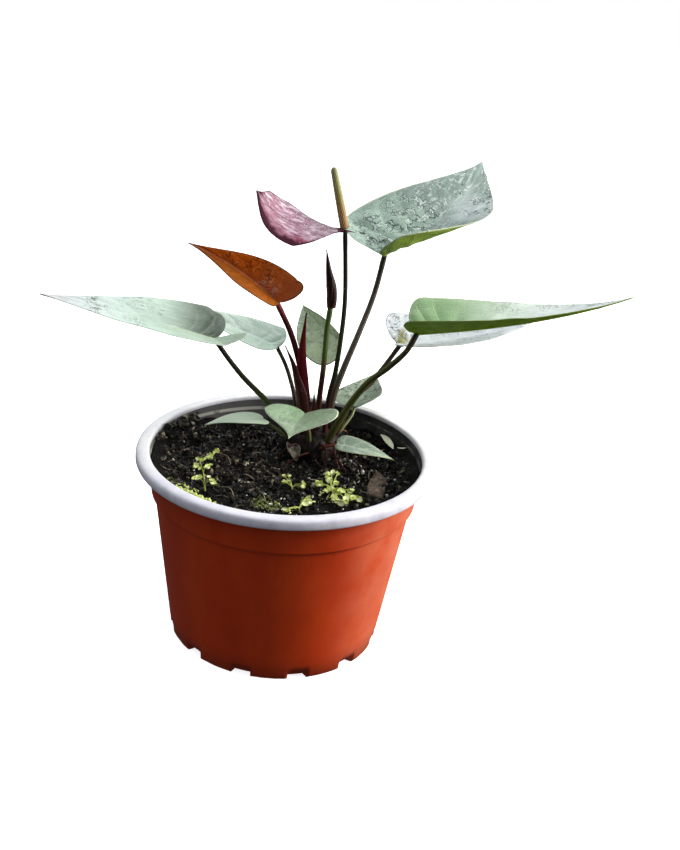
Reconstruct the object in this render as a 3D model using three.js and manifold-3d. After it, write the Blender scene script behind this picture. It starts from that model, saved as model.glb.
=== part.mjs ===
// A potted anthurium: eleven leaves, one flower and one bud rise from a short crown in a nursery pot.
// Millimetres, +Z up. The origin is the centre of the pot's flat base and -Y faces the viewer.
import * as THREE from 'three';
import { mergeVertices } from 'three/addons/utils/BufferGeometryUtils.js';
import Module from 'manifold-3d';

const wasm = await Module();
wasm.setup();

// ---------- driving dimensions ----------
const POT_HEIGHT = 101.5;
const RIM_TILT = [0.02, 0.01]; // how much the rim rises for each millimetre towards +X and +Y
const RIM_RADIUS = 75.8; // outside of the rolled rim
const RIM_THICKNESS = 3; // of the rim's flat top
const RIM_DEPTH = 4.6; // how far the rim's outer edge turns down
const RIM_EDGE = 1.7; // thickness of that edge
const WALL = 1.4;
const BASE_RADIUS = 54.8; // outside of the wall at the base
const WALL_SLOPE = 0.139; // how much the wall's radius grows for each millimetre of height
const STEP_HEIGHT = 78; // where the wall steps out to its collar
const STEP_OUT = 1.6;
const STEP_RISE = 1.6; // height over which the wall steps out
const FLOOR = 1.8;
const FOOT_COUNT = 12;
const NOTCH_ANGLE = 10; // degrees of base edge cut away between two feet
const NOTCH_HEIGHT = 5;
const NOTCH_DEPTH = 4.2;
const POT_SEGMENTS = 60;

const SOIL_LEVEL = 89.5;
const SOIL_LUMP = 1.1; // height of the soil's low waves
const SOIL_DROP = 1.2; // how much lower the soil lies at the wall
const SOIL_BANK = 8.5; // how high the soil is heaped against the wall on the left and right
const CLEARANCE = 0.3; // gap between neighbouring pieces

const CROWN_CENTRE = [12, 27];
const CROWN_RADII = [16, 14];
const CROWN_FOOT = 82; // bottom of the crown, buried in the soil
const CROWN_TOP = 103.5;

const BLADE = 0.8; // thickness of a leaf blade
const RIB = 0.7; // extra depth of the midrib under the blade
const RIB_CROWDING = 1.7; // above 1, the rows lie closer together near the stalk
const LOBE_SHARE = 0.42; // share of a blade's rows that go round its back lobes
const BEND_POWER = 1.5; // above 1, a midrib bends more towards its tip

const COLOURS = {
  terracotta: '#a83a1c',
  soil: '#2a211c',
  crown: '#4a3128',
  sage: '#9db8a6',
  olive: '#7f9a45',
  orange: '#b4521a',
  mauve: '#b98fae',
  cream: '#a89a55',
  maroon: '#3c1420',
  redSheath: '#5c1018',
  stalkDark: '#2e2a1c',
  stalkGreen: '#4f5a2a',
  stalkRed: '#6b2418',
  weed: '#b9c35a',
  bark: '#5a4a3e',
};

// ---------- small helpers ----------
const degrees = (angle) => (angle * Math.PI) / 180;
const mix = (a, b, t) => a + (b - a) * t;
const clamp = (value, low, high) => Math.min(high, Math.max(low, value));
const point = (list) => new THREE.Vector3(...list);
const lowered = ([x, y, z], drop) => [x, y, z - drop];

const group = new THREE.Group();

function addMesh(name, geometry, colour, roughness = 0.7) {
  const material = new THREE.MeshStandardMaterial({ color: colour, roughness, metalness: 0 });
  const mesh = new THREE.Mesh(geometry, material);
  mesh.name = name;
  group.add(mesh);
  return mesh;
}

function toSolid(geometry) {
  const bare = geometry.clone();
  bare.deleteAttribute('normal');
  bare.deleteAttribute('uv');
  const merged = mergeVertices(bare, 1e-4);
  return new wasm.Manifold(new wasm.Mesh({
    numProp: 3,
    vertProperties: new Float32Array(merged.attributes.position.array),
    triVerts: new Uint32Array(merged.index.array),
  }));
}

function toGeometry(solid) {
  const mesh = solid.getMesh();
  const geometry = new THREE.BufferGeometry();
  geometry.setAttribute('position', new THREE.BufferAttribute(new Float32Array(mesh.vertProperties), 3));
  geometry.setIndex(new THREE.BufferAttribute(new Uint32Array(mesh.triVerts), 1));
  geometry.computeVertexNormals();
  return geometry;
}

// Cuts every tool from the solid and keeps the largest piece that is left.
function cut(solid, tools) {
  const rest = tools.reduce((left, tool) => left.subtract(tool), solid);
  const pieces = rest.decompose();
  return pieces.reduce((best, piece) => (piece.volume() > best.volume() ? piece : best));
}

// The space that a neighbour keeps clear of a blade: the swollen blade, also moved a little sideways.
function clearOf(leaf) {
  const moves = [[0, 0, 0], [1, 0, 0], [-1, 0, 0], [0, 1, 0], [0, -1, 0]];
  return moves.map((move) => {
    const [x, y, z] = move.map((share) => share * CLEARANCE);
    return toSolid(bladeGeometry(leaf, CLEARANCE).translate(x, y, z));
  });
}

const join = (solids) => solids.reduce((whole, piece) => whole.add(piece));

function meshFrom(positions, index) {
  const geometry = new THREE.BufferGeometry();
  geometry.setAttribute('position', new THREE.Float32BufferAttribute(positions, 3));
  geometry.setIndex(index);
  geometry.computeVertexNormals();
  return geometry;
}

// ---------- round stalks along a curve ----------
// radiusAt(t) gives the radius at share t of the curve; flat squeezes the section across the view.
function sweep(points, radiusAt, { sides = 8, steps = 12, flat = 1, grow = 0 } = {}) {
  const curve = new THREE.CatmullRomCurve3(points.map(point), false, 'centripetal');
  const positions = [];
  const index = [];
  const sideways = new THREE.Vector3(1, 0, 0);
  for (let i = 0; i <= steps; i += 1) {
    const centre = curve.getPointAt(i / steps);
    const tangent = curve.getTangentAt(i / steps);
    const across = sideways.clone().addScaledVector(tangent, -sideways.dot(tangent)).normalize();
    const deep = tangent.clone().cross(across);
    const radius = radiusAt(i / steps) + grow;
    for (let k = 0; k < sides; k += 1) {
      const angle = (2 * Math.PI * k) / sides;
      const corner = centre.clone().addScaledVector(across, radius * Math.cos(angle));
      corner.addScaledVector(deep, radius * Math.sin(angle) * flat);
      positions.push(corner.x, corner.y, corner.z);
    }
  }
  for (let i = 0; i < steps; i += 1) {
    for (let k = 0; k < sides; k += 1) {
      const a = i * sides + k;
      const b = i * sides + ((k + 1) % sides);
      index.push(a, b, b + sides, a, b + sides, a + sides);
    }
  }
  for (let k = 1; k < sides - 1; k += 1) {
    const last = steps * sides;
    index.push(0, k + 1, k, last, last + k, last + k + 1);
  }
  return meshFrom(positions, index);
}

// ---------- leaf blades ----------
// Half of a heart-shaped outline: a back lobe from the sinus to the widest point, then a side that
// narrows to the tip. x runs along the midrib from where the stalk joins, y runs outward.
function halfOutline(leaf, count, side) {
  const { length, width, widest = 0.06, lobeSpread = 0.6, tip = 0.25, shoulder = 0.22 } = leaf;
  const half = width / 2;
  const back = (side < 0 ? leaf.lobeRight ?? leaf.lobe : leaf.lobe) * length;
  const lobeCurve = new THREE.CubicBezierCurve(
    new THREE.Vector2(0, 0),
    new THREE.Vector2(-back * 1.1, half * 0.08),
    new THREE.Vector2(-back * 1.55, half * (0.4 + lobeSpread)),
    new THREE.Vector2(widest * length, half),
  );
  const sideCurve = new THREE.CubicBezierCurve(
    new THREE.Vector2(widest * length, half),
    new THREE.Vector2((widest + 0.36) * length, half * 0.98),
    new THREE.Vector2(length * (1 - tip), half * shoulder),
    new THREE.Vector2(length, 0),
  );
  const lobeSteps = Math.round(count * LOBE_SHARE);
  const outline = lobeCurve.getPoints(lobeSteps);
  return outline.concat(sideCurve.getPoints(count - lobeSteps).slice(1));
}

// The midrib's frame at share s of its length, with the rib's path added up in short steps.
function ribFrames(leaf, steps = 60) {
  const { length, pitch, bend, heading, sweepBy = 0, roll, twist = 0 } = leaf;
  const frames = [];
  const position = point(leaf.attach);
  for (let i = 0; i <= steps; i += 1) {
    const s = i / steps;
    const up = degrees(pitch + bend * s ** BEND_POWER);
    const turn = degrees(heading + sweepBy * s);
    const lean = degrees(roll + twist * s);
    const level = new THREE.Vector3(-Math.sin(turn), Math.cos(turn), 0);
    const ahead = new THREE.Vector3(Math.cos(turn), Math.sin(turn), 0);
    const along = ahead.multiplyScalar(Math.cos(up)).setZ(Math.sin(up));
    const above = along.clone().cross(level);
    const left = level.clone().multiplyScalar(Math.cos(lean)).addScaledVector(above, Math.sin(lean));
    const out = above.multiplyScalar(Math.cos(lean)).addScaledVector(level, -Math.sin(lean));
    if (i > 0) {
      const middle = along.clone().add(frames[i - 1].along).multiplyScalar(0.5);
      position.addScaledVector(middle, length / steps);
    }
    frames.push({ position: position.clone(), along, left, out });
  }
  return frames;
}

// One point of the blade's middle surface: x along the midrib, y outward from it, and the side,
// +1 for the left half and -1 for the right.
function bladePoint(leaf, frames, x, y, side) {
  const s = clamp(x / leaf.length, 0, 1);
  const place = s * (frames.length - 1);
  const low = Math.min(Math.floor(place), frames.length - 2);
  const share = place - low;
  const blend = (key) => frames[low][key].clone().lerp(frames[low + 1][key], share);
  const fold = side > 0 ? leaf.foldLeft : leaf.foldRight;
  const foldTip = (side > 0 ? leaf.foldTipLeft : leaf.foldTipRight) ?? leaf.foldTip ?? 0.6;
  const curl = degrees(side > 0 ? leaf.curlLeft ?? 0 : leaf.curlRight ?? 0) / (leaf.width / 2);
  const angle = degrees(fold) * mix(1, foldTip, s);
  const curled = Math.abs(curl) > 1e-6;
  const outward = curled ? (Math.sin(angle + curl * y) - Math.sin(angle)) / curl : y * Math.cos(angle);
  const rise = curled ? (Math.cos(angle) - Math.cos(angle + curl * y)) / curl : y * Math.sin(angle);
  const behind = Math.min(x, 0);
  const lifted = rise - behind * Math.tan(degrees(leaf.lobeLift ?? 0));
  const result = blend('position');
  result.addScaledVector(blend('along'), behind);
  result.addScaledVector(blend('left'), outward * side);
  result.addScaledVector(blend('out'), lifted);
  return result;
}

// A closed blade: the middle surface's grid moved up and down by half the thickness, both faces
// split into the same triangles, with a thicker midrib below. grow swells it for a clearance cut.
function bladeGeometry(leaf, grow = 0) {
  const rows = leaf.rows ?? 16;
  const columns = leaf.columns ?? 3;
  const outlines = { 1: halfOutline(leaf, rows, 1), [-1]: halfOutline(leaf, rows, -1) };
  const frames = ribFrames(leaf);
  const across = 2 * columns + 1;
  const middle = [];
  const share = [];
  const ids = [];
  for (let i = 0; i <= rows; i += 1) {
    const collapsed = i === 0 || i === rows;
    ids.push([]);
    for (let c = 0; c < across; c += 1) {
      if (collapsed && c > 0) {
        ids[i].push(ids[i][0]);
        continue;
      }
      const side = c >= columns ? 1 : -1;
      const w = Math.abs(c - columns) / columns;
      const ribX = leaf.length * (i / rows) ** RIB_CROWDING;
      const edge = outlines[side][i];
      const x = mix(ribX, edge.x, collapsed ? 0 : w);
      const y = mix(0, edge.y, collapsed ? 0 : w);
      ids[i].push(middle.length);
      middle.push(bladePoint(leaf, frames, x, y, side));
      share.push((1 - w) ** 3 * (1 - i / rows));
    }
  }
  const face = [];
  const addTriangle = (a, b, c) => {
    if (a !== b && b !== c && c !== a) face.push([a, b, c]);
  };
  for (let i = 0; i < rows; i += 1) {
    for (let c = 0; c < across - 1; c += 1) {
      const corners = [ids[i][c], ids[i + 1][c], ids[i + 1][c + 1], ids[i][c + 1]];
      addTriangle(corners[0], corners[1], corners[2]);
      addTriangle(corners[0], corners[2], corners[3]);
    }
  }
  const sheet = meshFrom(middle.flatMap((p) => p.toArray()), face.flat());
  const normals = sheet.attributes.normal;
  const top = [];
  const bottom = [];
  middle.forEach((p, i) => {
    const out = new THREE.Vector3().fromBufferAttribute(normals, i);
    const half = BLADE / 2 + grow;
    top.push(...p.clone().addScaledVector(out, half).toArray());
    bottom.push(...p.clone().addScaledVector(out, -half - RIB * share[i]).toArray());
  });
  const count = middle.length;
  const index = face.flatMap(([a, b, c]) => [a, b, c, a + count, c + count, b + count]);
  const wall = (a, b) => index.push(a, a + count, b + count, a, b + count, b);
  for (let i = 0; i < rows; i += 1) {
    wall(ids[i][0], ids[i + 1][0]);
    wall(ids[i + 1][across - 1], ids[i][across - 1]);
  }
  return meshFrom(top.concat(bottom), index);
}

// ---------- the plant's measured pieces ----------
// Angles are in degrees. heading 0 points along +X and 90 along +Y; pitch is the rise of the midrib
// where it starts and bend what is added by the tip; roll lifts the left half; the folds lift each
// half about the midrib. A stalk runs from its foot in the crown through its points to the blade.
const LEAVES = [
  {
    name: 'upper_right', colour: 'sage', attach: [41, 35.7, 197.4], rows: 18, columns: 4,
    length: 107, width: 68, lobe: 0.09, lobeSpread: 0.61, shoulder: 0.24,
    heading: 33, sweepBy: 47, pitch: 21, bend: -4, roll: 4, twist: 24,
    foldLeft: 17, foldRight: 25, curlRight: 29, foldTipLeft: 0, foldTipRight: -0.15, lobeLift: 25,
    stalk: [[20.5, 31.5, 97], [21.6, 31, 118.5], [25.8, 32, 135.3], [31.8, 33.5, 154.8], [37.6, 35, 175.8]],
    stalkRadii: [2, 1.3], stalkColour: 'stalkDark',
  },
  {
    name: 'long_right', colour: 'olive', attach: [60.1, 16.7, 163.3], rows: 18,
    length: 107, width: 52, lobe: 0.05, lobeSpread: 0.81, shoulder: 0.21,
    heading: -9, pitch: 12, bend: 15, roll: 15, twist: -9,
    foldLeft: 17, foldRight: 48, curlLeft: -11, curlRight: -4, foldTipLeft: 0.16, foldTipRight: 0.52,
    stalk: [[19.5, 20, 96], [29, 20.5, 117.5], [38.2, 18.5, 133.7], [48, 15.5, 144.6],
      [55.6, 14, 154.4]],
    stalkRadii: [2.1, 1.35], stalkColour: 'stalkGreen',
  },
  {
    name: 'second_right', colour: 'sage', attach: [54.9, 45, 146.4], rows: 14,
    length: 76, width: 58, lobe: 0.07, lobeSpread: 0.78, shoulder: 0.33, heading: 6, pitch: 8, bend: 16,
    roll: 1, foldLeft: 16, foldRight: 20, foldTip: 0.24, lobeLift: 12,
    stalk: [[24, 27.5, 96], [32, 32.5, 117.3], [41.6, 38, 127], [49, 42.5, 137]],
    stalkRadii: [1.7, 1.2], stalkColour: 'stalkDark',
  },
  {
    name: 'long_left', colour: 'sage', attach: [-41.4, 27.6, 147.1], rows: 18,
    length: 90, width: 50, lobe: 0.135, lobeRight: 0.06, lobeSpread: 0.38, widest: 0.044, shoulder: 0.2,
    heading: 193.4, pitch: 16, bend: -3, roll: -2.3, twist: -7.2,
    foldLeft: 14.5, foldRight: 19.4, foldTip: 0.37, lobeLift: 36,
    stalk: [[0, 27, 96], [-4.9, 27, 104], [-11.4, 27.3, 113.8], [-25.9, 27.5, 127.9], [-33.8, 27.6, 137]],
    stalkRadii: [1.7, 1.2], stalkColour: 'stalkGreen',
  },
  {
    name: 'second_left', colour: 'sage', attach: [-9.8, 45, 139.5], rows: 14,
    length: 62.5, width: 26.4, lobe: 0.033, lobeSpread: 0.26, heading: 151.8, pitch: 9, bend: 0,
    roll: -15.5, foldLeft: 20.6, foldRight: 12.5, foldTip: 0.7, lobeLift: 13.5,
    stalk: [[4, 37.4, 96], [2, 38.6, 112.6], [-0.9, 40.4, 122], [-4.3, 42.4, 130.2]],
    stalkRadii: [1.3, 1.0], stalkColour: 'stalkDark',
  },
  {
    name: 'young', colour: 'orange', attach: [-11.1, 21.6, 171.5], rows: 14,
    length: 53.7, width: 31.6, lobe: 0.03, lobeRight: 0.11, widest: 0.03, shoulder: 0.15, tip: 0.35,
    heading: 165.7, sweepBy: 22, pitch: 35.9, bend: -16.9, roll: -24.1, twist: -40.8,
    foldLeft: 37, foldRight: 59.3, foldTip: 0.53, lobeLift: 36.2,
    stalk: [[6.2, 30, 96], [4.7, 29.8, 119.5], [4.3, 29, 130.2], [1.8, 27.5, 140.6], [-3.2, 24.8, 155.4]],
    stalkRadii: [2, 1.3], stalkColour: 'stalkRed',
  },
  {
    name: 'back', colour: 'sage', attach: [21.3, 44.2, 147.6], rows: 12,
    length: 35.8, width: 35.3, lobe: 0.29, lobeSpread: 0.69, widest: 0.28, shoulder: 0.46, tip: 0.2,
    heading: 123, pitch: 2.2, bend: 26.2, roll: -92.5, twist: 1,
    foldLeft: 38.2, foldRight: 37.6, foldTip: 1.17,
    stalk: [[20, 36.5, 96], [22.4, 38.5, 117], [22.3, 42, 133]],
    stalkRadii: [1.3, 0.9], stalkColour: 'stalkDark',
  },
  {
    name: 'low_back', colour: 'sage', attach: [34.4, 41.6, 110.9], rows: 11, columns: 2,
    length: 39.4, width: 29.3, lobe: 0.16, lobeSpread: 0.3, shoulder: 0.33, tip: 0.13,
    heading: 73, pitch: -2.9, bend: 25.6, roll: -0.8, foldLeft: 15.4, foldRight: 31, foldTip: 0.81,
    stalk: [[24.5, 32.5, 95], [29, 35.5, 101], [33, 39, 106.5]],
    stalkRadii: [0.9, 0.7], stalkColour: 'weed',
  },
  {
    name: 'heart', colour: 'sage', attach: [7.3, 6.4, 118.2], rows: 13,
    length: 20.4, width: 40.4, lobe: 0.265, lobeSpread: 0.55, widest: 0.16, shoulder: 0.085, tip: 0.34,
    heading: -112, pitch: -6, bend: -27.6, roll: -1.1, foldLeft: 20.6, foldRight: 1.7, foldTip: 0.5,
    stalk: [[11.5, 18.5, 96], [10.3, 14, 106], [8.4, 8.8, 114.5]],
    stalkRadii: [1.2, 0.9], stalkColour: 'stalkGreen',
  },
  {
    name: 'low_left', colour: 'sage', attach: [-13.9, 25.3, 105.8], rows: 11, columns: 2,
    length: 32, width: 20, lobe: 0.05, widest: 0.12, heading: 202, pitch: 9, bend: -26, roll: 0,
    foldLeft: 8, foldRight: -3, foldTip: 0.8,
    stalk: [[1, 22, 95], [-3, 22.5, 99.5], [-9, 24, 103]],
    stalkRadii: [1.1, 0.8], stalkColour: 'stalkGreen',
  },
  {
    name: 'low_right', colour: 'sage', attach: [25.9, 9.6, 102], rows: 11, columns: 2,
    length: 30, width: 14, lobe: 0.05, widest: 0.15, heading: -12, pitch: -1, bend: -14, roll: 7,
    foldLeft: 20, foldRight: 8, foldTip: 0.8,
    stalk: [[16, 16.5, 95], [19.5, 13.5, 98.5], [23, 11, 100.5]],
    stalkRadii: [1, 0.8], stalkColour: 'stalkRed',
  },
];

// The spathe is a leaf-like bract that wraps the top of its stalk.
const SPATHE = {
  name: 'spathe', attach: [19.3, 20.9, 211.5], rows: 16,
  length: 53.6, width: 29, lobe: -0.147, lobeSpread: -0.07, widest: 0.534, tip: 0.176, shoulder: 0.632,
  heading: 203.5, pitch: -0.6, bend: 58.2, roll: -30.5, twist: -11.9,
  foldLeft: -3.8, foldRight: 0.7, foldTip: 0.9, curlLeft: 3.3, curlRight: -17.7,
};
const FLOWER_STALK = [[18.6, 24.6, 96], [19.4, 24.2, 122], [21.4, 23.6, 136.2], [22.6, 22.8, 157.5],
  [22.6, 21.8, 176], [19.4, 20.9, 211.3]];
const FLOWER_STALK_RADII = [1.4, 1.1];
const SPADIX = { foot: [19.3, 20.9, 211.6], tip: [11, 21.5, 241.2], footRadius: 2.2, tipRadius: 1.4 };
const BUD_STALK = [[14.3, 27.6, 96], [14.6, 27.4, 121], [15.2, 27.6, 138], [15.2, 27.8, 157],
  [15.9, 28, 169]];
const BUD_STALK_RADII = [1.5, 1.35];
const BUD = [[16.4, 28, 169.3], [15.9, 28, 178], [13.2, 28, 190], [11.4, 28, 199]];
const BUD_RADIUS = 2.7;

// Papery sheaths that wrapped earlier growth: [foot, ..., apex], widest radius.
const SHEATHS = [
  { name: 'sheath_red', points: [[7.4, 24, 96], [6.6, 24, 118], [4.6, 24, 131], [3.5, 24, 146],
    [4, 24, 166.5]], radius: 3.4 },
  { name: 'sheath_dark', points: [[8, 21, 97], [7.4, 20.5, 110], [5.8, 20.5, 121], [2.4, 20.5, 131.4],
    [-0.3, 20.5, 139.4], [-5.3, 20.5, 149.5]], radius: 2.9 },
  { name: 'sheath_short', points: [[12.6, 22.8, 97], [12.2, 22.6, 108], [11.6, 22.4, 125]], radius: 1.7 },
];

// Reddish aerial roots that run from the crown's front down to the soil.
const ROOTS = [
  [[18, 20, 97], [23, 15, 97.5], [26.5, 9, 90]],
  [[14, 18, 97], [17, 11, 97], [18, 6, 89.5]],
  [[6, 18, 96], [1, 12, 96], [-2, 7, 89.5]],
  [[22, 24, 96], [29, 21, 95.5], [33, 17, 89.5]],
];
const ROOT_RADIUS = 0.9;

// Small seedlings: every stem starts at the seedling's foot and ends in a round leaf.
const WEED_DEPTH = 86.5;
const WEEDS = [
  {
    name: 'weed_left', foot: [-38, -31.5, 90.5], stem: 0.5,
    tops: [[-42, -31.5, 96.5], [-35, -31.5, 95.8], [-43, -31.5, 103.2], [-37.3, -31.5, 103],
      [-42.3, -31.2, 107], [-39.8, -31.6, 107]],
    spine: [[-38.4, -31.6, 93], [-39.3, -31.5, 100], [-41, -31.5, 105]], leaf: [2.4, 1.7],
  },
  {
    name: 'weed_left_back', foot: [-38.4, 1, 90.8], stem: 0.5,
    tops: [[-39.8, -1.8, 93.8], [-38.5, 2.2, 94], [-35.6, 6.9, 94]], leaf: [1.8, 1.4],
  },
  {
    name: 'weed_right', foot: [23.5, -21, 91.6], stem: 0.55,
    tops: [[21.1, -8.5, 93], [25.5, -7, 93], [17, -20, 93], [22.4, -14.8, 93], [25.5, -17.7, 93],
      [22, -26, 93], [26.5, -27.8, 93], [27.9, -37, 92.6], [32.7, -25.7, 93], [36, -32.5, 93]],
    leaf: [2.4, 2],
  },
  {
    name: 'weed_middle', foot: [4, -22, 91.4], stem: 0.5,
    tops: [[1.2, -13, 92.5], [-0.2, -20.2, 92.5], [4.8, -27, 92.2], [9, -24.3, 92.8]], leaf: [1.7, 1.4],
  },
  {
    name: 'weed_front', foot: [8, -42, 91], stem: 0.5,
    tops: [[1.5, -47.5, 92], [11.6, -38.4, 93.4], [10.2, -40.2, 92]], leaf: [2, 1.4],
  },
];

// A flat chip of bark that lies on the soil: its outline in plan, at the chip's underside.
const CHIP = [[46.6, 5.8], [53, -2.3], [49, -25], [41, -22], [41.8, -10]];
const CHIP_BOTTOM = 89.4;
const CHIP_THICKNESS = 2.4;

// ---------- pot ----------
function wallRadius(z) {
  const collar = z > STEP_HEIGHT + STEP_RISE / 2 ? STEP_OUT : 0;
  return BASE_RADIUS + WALL_SLOPE * z + collar;
}

// The pot leans out of true: every height grows with its own share of the rim's tilt.
function tilted(geometry) {
  const place = geometry.attributes.position;
  for (let i = 0; i < place.count; i += 1) {
    const rise = RIM_TILT[0] * place.getX(i) + RIM_TILT[1] * place.getY(i);
    place.setZ(i, place.getZ(i) * (1 + rise / POT_HEIGHT));
  }
  return geometry;
}

// Half of the pot's section, from the middle of the underside up the outside, over the rim and
// down the inside.
function potSolid() {
  const stepTop = STEP_HEIGHT + STEP_RISE;
  const rimUnder = POT_HEIGHT - RIM_THICKNESS;
  const edgeEnd = POT_HEIGHT - RIM_DEPTH;
  const mouth = wallRadius(POT_HEIGHT) - WALL;
  const profile = [
    [0, 0],
    [BASE_RADIUS, 0],
    [wallRadius(STEP_HEIGHT), STEP_HEIGHT],
    [wallRadius(stepTop), stepTop],
    [wallRadius(rimUnder), rimUnder],
    [RIM_RADIUS - RIM_EDGE, rimUnder],
    [RIM_RADIUS - RIM_EDGE + 0.2, edgeEnd + 0.3],
    [RIM_RADIUS - 0.8, edgeEnd],
    [RIM_RADIUS, edgeEnd + 1],
    [RIM_RADIUS, POT_HEIGHT - 1.7],
    [RIM_RADIUS - 0.6, POT_HEIGHT - 0.5],
    [RIM_RADIUS - 2, POT_HEIGHT],
    [mouth + 1, POT_HEIGHT],
    [mouth, POT_HEIGHT - 1],
    [wallRadius(stepTop) - WALL, stepTop - 0.8],
    [wallRadius(STEP_HEIGHT) - WALL, STEP_HEIGHT - 0.8],
    [wallRadius(FLOOR) - WALL, FLOOR],
    [0, FLOOR],
  ];
  const corners = profile.map((corner) => new THREE.Vector2(...corner));
  const lathe = new THREE.LatheGeometry(corners, POT_SEGMENTS).rotateX(Math.PI / 2);
  return cut(toSolid(tilted(lathe)), footNotches());
}

// Each notch takes away a piece of the corner between wall and floor, so the base stands on feet.
function footNotches() {
  const notches = [];
  const inner = BASE_RADIUS - NOTCH_DEPTH;
  const outer = BASE_RADIUS + 4;
  const spread = degrees(NOTCH_ANGLE / 2);
  for (let i = 0; i < FOOT_COUNT; i += 1) {
    const shape = new THREE.Shape();
    shape.moveTo(inner, -1);
    shape.lineTo(outer, -1);
    shape.lineTo(outer, NOTCH_HEIGHT);
    shape.lineTo(inner + 2, NOTCH_HEIGHT);
    shape.closePath();
    const depth = 2 * outer * Math.tan(spread);
    const notch = new THREE.ExtrudeGeometry(shape, { depth, bevelEnabled: false });
    notch.translate(0, 0, -depth / 2);
    notch.rotateX(Math.PI / 2);
    notch.rotateZ((2 * Math.PI * (i + 0.5)) / FOOT_COUNT);
    notches.push(toSolid(notch));
  }
  return notches;
}

// ---------- soil ----------
function soilHeight(x, y) {
  const lumps = Math.sin(0.31 * x + 1.3) * Math.cos(0.27 * y) + 0.6 * Math.sin(0.17 * x - 0.38 * y + 2);
  const radius = Math.hypot(x, y);
  const drop = SOIL_DROP * clamp((radius - 50) / 15, 0, 1);
  const bank = SOIL_BANK * clamp((radius - 54) / 13, 0, 1) * (Math.abs(x) / (radius + 1));
  return SOIL_LEVEL + SOIL_LUMP * lumps - drop + bank;
}

// Closed by rings: the lumpy top from the middle outward, then down inside the wall and across the floor.
function soilSolid() {
  const sectors = 40;
  const rings = 11;
  const flatSides = 0.35; // the wall's flat facets and its tilt come this much closer
  const inside = (z) => wallRadius(z) - WALL - CLEARANCE - flatSides;
  const topRadius = inside(SOIL_LEVEL);
  const rows = [];
  for (let i = 1; i <= rings; i += 1) {
    rows.push((angle) => {
      const [across, ahead] = [Math.cos(angle), Math.sin(angle)];
      const edge = soilHeight(topRadius * across, topRadius * ahead);
      const r = (inside(edge) * i) / rings;
      return [r * across, r * ahead, soilHeight(r * across, r * ahead)];
    });
  }
  const heights = [STEP_HEIGHT + 4, STEP_HEIGHT - 0.4, NOTCH_HEIGHT + 2];
  const down = heights.map((z) => [inside(z), z]);
  down.push([BASE_RADIUS - NOTCH_DEPTH - 1.5, FLOOR + CLEARANCE]);
  down.forEach(([r, z]) => rows.push((angle) => [r * Math.cos(angle), r * Math.sin(angle), z]));
  const positions = [0, 0, soilHeight(0, 0)];
  rows.forEach((row) => {
    for (let k = 0; k < sectors; k += 1) positions.push(...row((2 * Math.PI * k) / sectors));
  });
  positions.push(0, 0, FLOOR + CLEARANCE);
  const bottom = positions.length / 3 - 1;
  const index = [];
  for (let k = 0; k < sectors; k += 1) {
    const next = (k + 1) % sectors;
    index.push(0, 1 + k, 1 + next);
    for (let i = 0; i < rows.length - 1; i += 1) {
      const [a, b] = [1 + i * sectors + k, 1 + i * sectors + next];
      index.push(a, a + sectors, b + sectors, a, b + sectors, b);
    }
    const last = 1 + (rows.length - 1) * sectors;
    index.push(last + k, bottom, last + next);
  }
  return toSolid(meshFrom(positions, index));
}

// ---------- crown, stalks and leaves ----------
function crownSolid(grow = 0) {
  const half = (CROWN_TOP - CROWN_FOOT) / 2;
  const ball = new THREE.SphereGeometry(1, 18, 9);
  const place = ball.attributes.position;
  for (let i = 0; i < place.count; i += 1) {
    const p = new THREE.Vector3().fromBufferAttribute(place, i);
    const lump = 1 + 0.05 * Math.sin(5 * p.x + 2) * Math.cos(4 * p.y) + 0.04 * Math.sin(7 * p.z + 3 * p.x);
    place.setXYZ(
      i,
      CROWN_CENTRE[0] + p.x * (CROWN_RADII[0] * lump + grow),
      CROWN_CENTRE[1] + p.z * (CROWN_RADII[1] * lump + grow),
      CROWN_FOOT + half - p.y * (half * lump + grow),
    );
  }
  const roots = ROOTS.map((path) => toSolid(sweep(path, () => ROOT_RADIUS, { sides: 6, steps: 6, grow })));
  return join([toSolid(ball), ...roots]);
}

const stalkShape = (radii) => (t) => mix(radii[0], radii[1], t ** 0.7);

// A stalk reaches into the underside of its blade and is trimmed back to the clearance there.
function leafStalk(leaf, grow = 0) {
  const points = [...leaf.stalk, leaf.attach];
  const steps = leaf.stalk.length * 2 + 1;
  return toSolid(sweep(points, stalkShape(leaf.stalkRadii), { sides: 8, steps, grow }));
}

function sheathSolid(sheath, grow = 0) {
  const widthAt = (t) => sheath.radius * Math.min(0.72 + 1.1 * t, 1) * clamp(1.9 * (1.02 - t), 0.12, 1);
  return toSolid(sweep(sheath.points, widthAt, { sides: 8, steps: 10, flat: 0.5, grow }));
}

function budSolid() {
  const swell = (t) => BUD_RADIUS * clamp(0.85 + 1.2 * t, 0, 1) * clamp(1.55 * (1.03 - t), 0.12, 1);
  return toSolid(sweep(BUD, swell, { sides: 10, steps: 12 }));
}

// The spadix tapers to a round end and stands just above the end of its stalk.
function spadixSolid(grow = 0) {
  const round = 0.93;
  const taper = (t) => mix(SPADIX.footRadius, SPADIX.tipRadius, t ** 1.6);
  const end = (t) => (t < round ? 1 : Math.sqrt(Math.max(0.06, 1 - ((t - round) / (1 - round)) ** 2)));
  const start = (t) => (t < 0.02 ? 0.85 : 1);
  const radiusAt = (t) => taper(t) * end(t) * start(t);
  const foot = point(SPADIX.foot);
  const tip = point(SPADIX.tip);
  const along = tip.clone().sub(foot).normalize();
  const points = [foot.addScaledVector(along, CLEARANCE + 0.2), foot.clone().lerp(tip, 0.5), tip];
  return toSolid(sweep(points.map((p) => p.toArray()), radiusAt, { sides: 12, steps: 16, grow }));
}

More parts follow.
